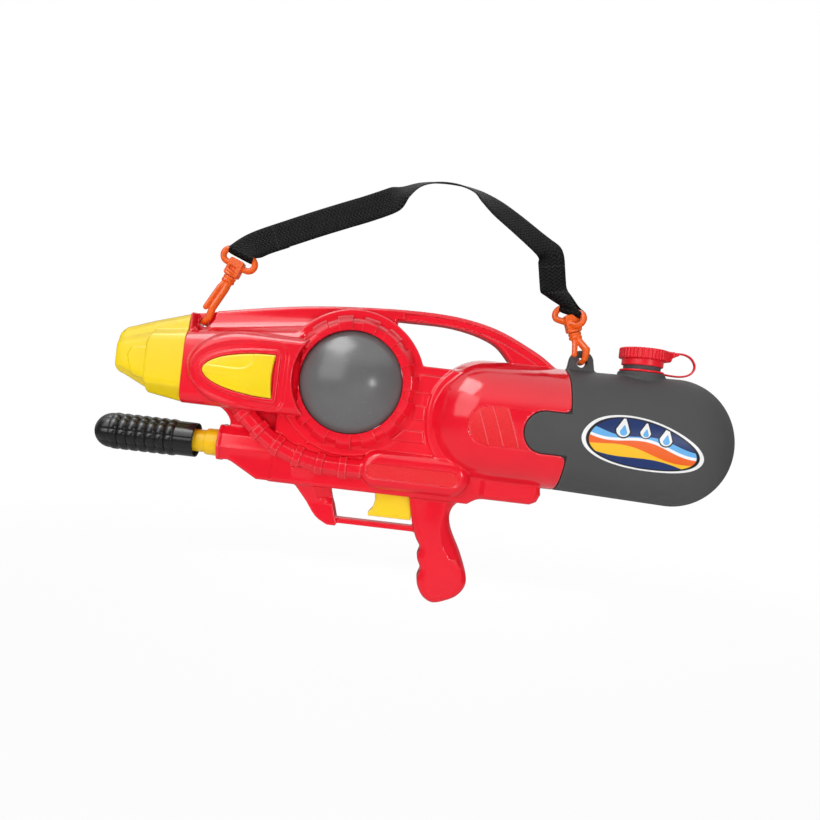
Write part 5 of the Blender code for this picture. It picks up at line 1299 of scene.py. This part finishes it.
def clip_ring_field(points, place):
    """Distance to a clip's ring, a long loop, and its socket: a block with a window and two beads."""
    t, v, y = in_clip(points, place)
    middle, down, bar, back = ring_frame(place)
    offset = points - middle
    low, wide, deep = offset @ down, offset @ bar, offset @ back
    loop = np.hypot(np.abs(wide) - np.minimum(np.abs(wide), 9.4), low) - 6.0
    loop = np.hypot(loop, deep) - 2.9
    round_out = np.hypot(v, y)
    block = slab(rectangle(v, y, (0, 0), (6.6, 5.2)), np.abs(t - 8.6), 8.2, 1.8)
    bead = np.minimum(np.hypot(round_out - 5.6, t - 13.2), np.hypot(round_out - 5.6, t - 15.8)) - 1.2
    window = slab(rectangle(v, t, (-0.8, 9.6), (3.2, 1.9)), np.abs(y + 5.0), 2.6, 0.6)
    block = carved(joined(block, bead, 0.6), window, 0.5)
    return joined(loop, block, 1.5)


def clip_hook_field(points, place):
    """Distance to a clip's hook: the collar in the socket, the arm through the eye and the straight gate."""
    t, v, y = in_clip(points, place)
    reach = clip_frame(*CLIPS[place])[3]
    collar = slab(np.hypot(v, y) - 5.9, np.abs(t - 20.4), 3.1, 1.0)
    groove = np.hypot(np.hypot(v, y) - 6.2, t - 20.2) - 0.8
    arm, gate = HOOK_LIMBS[place]
    curl = [(reach + back, right, deep) for back, right, deep in HOOK_CURL]
    hook = limb_distance(t, v, y, ((21, 1.0, 0), *arm, *curl), (3.4, ARM_RADIUS, ARM_RADIUS, *CURL_RADII))
    gate = limb_distance(t, v, y, ((21, -1.5, 0), *gate), (GATE_RADIUS,) * 3)
    return joined(carved(collar, groove, 0.5), np.minimum(hook, gate), 1.0)


for place in CLIPS:
    middle, along, _, reach = clip_frame(*CLIPS[place])
    span = RING_SPAN * (1 - np.abs(along))
    socket = middle + SOCKET_END * along
    ends = np.array((middle - span, middle + span, socket))
    box = ends.min(0) - RING_MARGIN, ends.max(0) + RING_MARGIN
    field_piece(f"{place}_ring", "housing", (f"{place}_clip_ring",),
                lambda points, place=place: clip_ring_field(points, place), box, CLIP_CELL, clip_plastic)
    ends = np.array((socket, middle + reach * along))
    box = ends.min(0) - HOOK_MARGIN, ends.max(0) + HOOK_MARGIN
    field_piece(f"{place}_hook_body", f"{place}_hook", (f"{place}_clip_hook",),
                lambda points, place=place: clip_hook_field(points, place), box, CLIP_CELL, clip_plastic)


# The shoulder strap: black woven webbing, 24 mm wide, each end led round its ring's bar and sewn back.
# It stands in an arch over the toy, turned edge-on at the top, as in the photograph.
STRAP_HALF, STRAP_THICK, STRAP_STEPS = 12.0, 1.6, 25
TWILL_PITCH, WARP_PITCH, STITCH_PITCH, CHEVRONS = 0.0034, 0.0012, 0.0032, 360.0
YARN_DARK, YARN_PALE = (0.0006, 0.0006, 0.0007, 1.0), (0.012, 0.012, 0.0125, 1.0)
THREAD = (0.022, 0.022, 0.023, 1.0)
STITCH_PLACES = ((-141.0, 141.5), (-139.0, 142.5), (114.0, 146.0), (118.6, 122.5), (119.3, 121.0))
STRAP_ROUTE = ((-152.0, 136.5, 0.0), (-132.0, 146.0, 0.0), (-105.0, 158.5, 0.0), (-80.0, 169.5, 0.0),
               (-58.0, 179.0, 0.0), (-38.0, 189.0, 6.0), (-27.0, 198.0, 48.0), (-14.0, 206.0, 66.0),
               (2.0, 209.5, 73.0), (20.0, 209.5, 73.0), (36.0, 206.0, 66.0), (46.0, 200.5, 52.0),
               (60.0, 191.5, 38.0), (78.0, 180.0, 32.0), (95.0, 168.5, 28.0), (105.0, 161.5, 22.0),
               (110.3, 157.0, 8.0), (112.4, 151.5, 0.0), (114.0, 143.0, 0.0), (116.0, 132.0, 0.0),
               (118.0, 124.0, 0.0))
REAR_END = ((122.5, -0.3, 118.0, 0.93, -0.33, -0.06), (129.0, -1.2, 112.0, 0.80, -0.55, -0.24))
REAR_TAIL = ((132.0, 3.2, 114.0, 0.80, -0.55, -0.24), (124.2, 2.2, 119.6, 0.93, -0.33, -0.06))
BAR_RISE, WRAP, TAIL = 6.0, 3.9, 1.75


def strap_wrap(place, trail):
    """Points of the strap's end round a ring's bar, from places below and behind it, and the bar's line."""
    middle, down, bar, back = ring_frame(place)
    points = middle - down * BAR_RISE + np.array(trail)[:, :1] * down + np.array(trail)[:, 1:] * back
    return np.hstack((points, np.repeat(bar[None], len(points), 0)))


UNDER_BAR = ((0.0, -WRAP), (2.8, -2.8), (WRAP, 0.0), (2.8, 2.8), (0.0, WRAP))
front_end = strap_wrap("front", ((-2.8, -3.0), *UNDER_BAR, (-2.8, 3.2))) * (1, 1, 1, -1, -1, -1)
rear_end = strap_wrap("rear", (*UNDER_BAR, (-2.6, 3.4)))
route = np.array(STRAP_ROUTE)
tangent = unit(np.gradient(route[:, :2], axis=0))
turn = np.radians(route[:, 2])
main = np.column_stack((route[:, 0], 0 * route[:, 0], route[:, 1],
                        -tangent[:, 1] * np.cos(turn), np.sin(turn), tangent[:, 0] * np.cos(turn)))
behind = (0.0, TAIL, 0.0, 0.0, 0.0, 0.0)
path = smooth_path(np.vstack((main[1::-1] + behind, front_end[::-1], main, REAR_END, rear_end, REAR_TAIL,
                              main[:-5:-1] + behind)), 8)
line, face = path[:, :3], path[:, 3:]
face = unit(face)
flat = unit(np.cross(unit(np.gradient(line, axis=0)), face))
section = np.concatenate((np.linspace(-1, 1, STRAP_STEPS), np.linspace(1, -1, STRAP_STEPS)))
across = STRAP_HALF * section
skin_height = np.repeat((0.5, -0.5), STRAP_STEPS) * STRAP_THICK * (1 - np.abs(section) ** 8 * 0.75)
grid = line[:, None] + face[:, None] * across[None, :, None] + flat[:, None] * skin_height[None, :, None]
run = np.concatenate(((0,), np.cumsum(np.linalg.norm(np.diff(line, axis=0), axis=1)))) * MM
STITCHES = [float(run[np.argmin(np.hypot(line[:, 0] - x, line[:, 2] - z) + 9.0 * (line[:, 1] > 0.8))])
            for x, z in STITCH_PLACES]
webbing, wire = new_material("woven_webbing")
run_at = wire.point_value("run")
width_at = wire.point_value("width")
slant = run_at + (width_at * CHEVRONS).fold(1.0) / CHEVRONS
twill = (slant * (2 * math.pi / TWILL_PITCH)).sine() * 0.5 + 0.5
warp = (width_at * (2 * math.pi / WARP_PITCH)).sine() * 0.5 + 0.5
weave = twill * 0.7 + warp * 0.3
fuzz = wire.noise(wire.place(), 140.0, 4.0)
tone = (weave * 0.75 + fuzz * 0.35).rise(0.4, 1.0).mixed(YARN_DARK, YARN_PALE)
bump = wire.add("ShaderNodeBump", None, {"Strength": 0.8, "Distance": 0.0005, "Height": weave}, "Normal")
dash = (width_at * (2 * math.pi / STITCH_PITCH)).sine().rise(-0.5, 0.1)
for seam in STITCHES:
    row = 1.0 - (run_at - seam).size().rise(0.0003, 0.0006)
    tone = (row * dash).mixed(tone, THREAD)
principled_output(wire, {"Base Color": tone, "Roughness": 0.62, "Normal": bump, "Specular IOR Level": 0.16})
strap = grid_piece("strap_webbing", "housing", "webbing", ("strap",), grid, webbing, sharp=60.0,
                   run=np.repeat(run[:, None], len(section), 1),
                   width=np.repeat((across * MM)[None], len(run), 0))


# What is inside or hardly seen keeps its solids: white valve parts and tubes, pale hoses, rubber discs and
# zinc-plated steel for the spring and the screws.
INNER = {
    "white_inner": ((0.74, 0.74, 0.72), 0.35, 0.0,
                    ("nozzle", "barrel_tube", "delivery_tube", "pump_cylinder", "piston", "valve_stem")),
    "hose_inner": ((0.62, 0.62, 0.58), 0.30, 0.0, ("pickup_tube", "suction_hose")),
    "rubber_inner": ((0.02, 0.02, 0.02), 0.60, 0.0,
                     ("outlet_valve", "inlet_valve", "piston_seal", "cap_seal")),
    "zinc_steel": ((0.56, 0.56, 0.58), 0.32, 1.0, tuple(f"housing_screw_{n}" for n in range(1, 9))),
}
for name, (colour, roughness, metallic, nodes) in INNER.items():
    made, wire = new_material(name)
    cloud = wire.noise(wire.place(), 60.0, 3.0)
    tone = cloud.rise(0.3, 0.7).mixed((*(0.85 * c for c in colour), 1.0), (*colour, 1.0))
    principled_output(wire, {"Base Color": tone, "Roughness": roughness + cloud * 0.12, "Metallic": metallic})
    for node in nodes:
        frame["nodes"][node].data.materials.clear()
        frame["nodes"][node].data.materials.append(made)


# The trigger spring: six turns of zinc-plated wire between the valve stem's button and a wall of the housing.
# The trigger's travel is 8 mm.
SPRING_WIRE, SPRING_TURNS, TRIGGER_TRAVEL = 0.8, 6, 8.0
low, high = (np.array(corner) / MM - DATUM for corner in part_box("trigger_spring"))
turn = np.linspace(0, 2 * math.pi * SPRING_TURNS, 24 * SPRING_TURNS + 1)
coil = (high[2] - low[2]) / 2 - SPRING_WIRE
along = np.linspace(low[0] + SPRING_WIRE, high[0] - SPRING_WIRE, len(turn))
path = np.column_stack((along, coil * np.cos(turn), (low[2] + high[2]) / 2 + coil * np.sin(turn)))
grid = swept_grid(path, SPRING_WIRE, SPRING_WIRE, (1, 0, 0), 10)
spring = grid_piece("spring_coil", "housing", "steel", ("trigger_spring",), grid,
                    bpy.data.materials["zinc_steel"])
tuple(placed((high[0], 0, (low[2] + high[2]) / 2)))
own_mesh(spring)
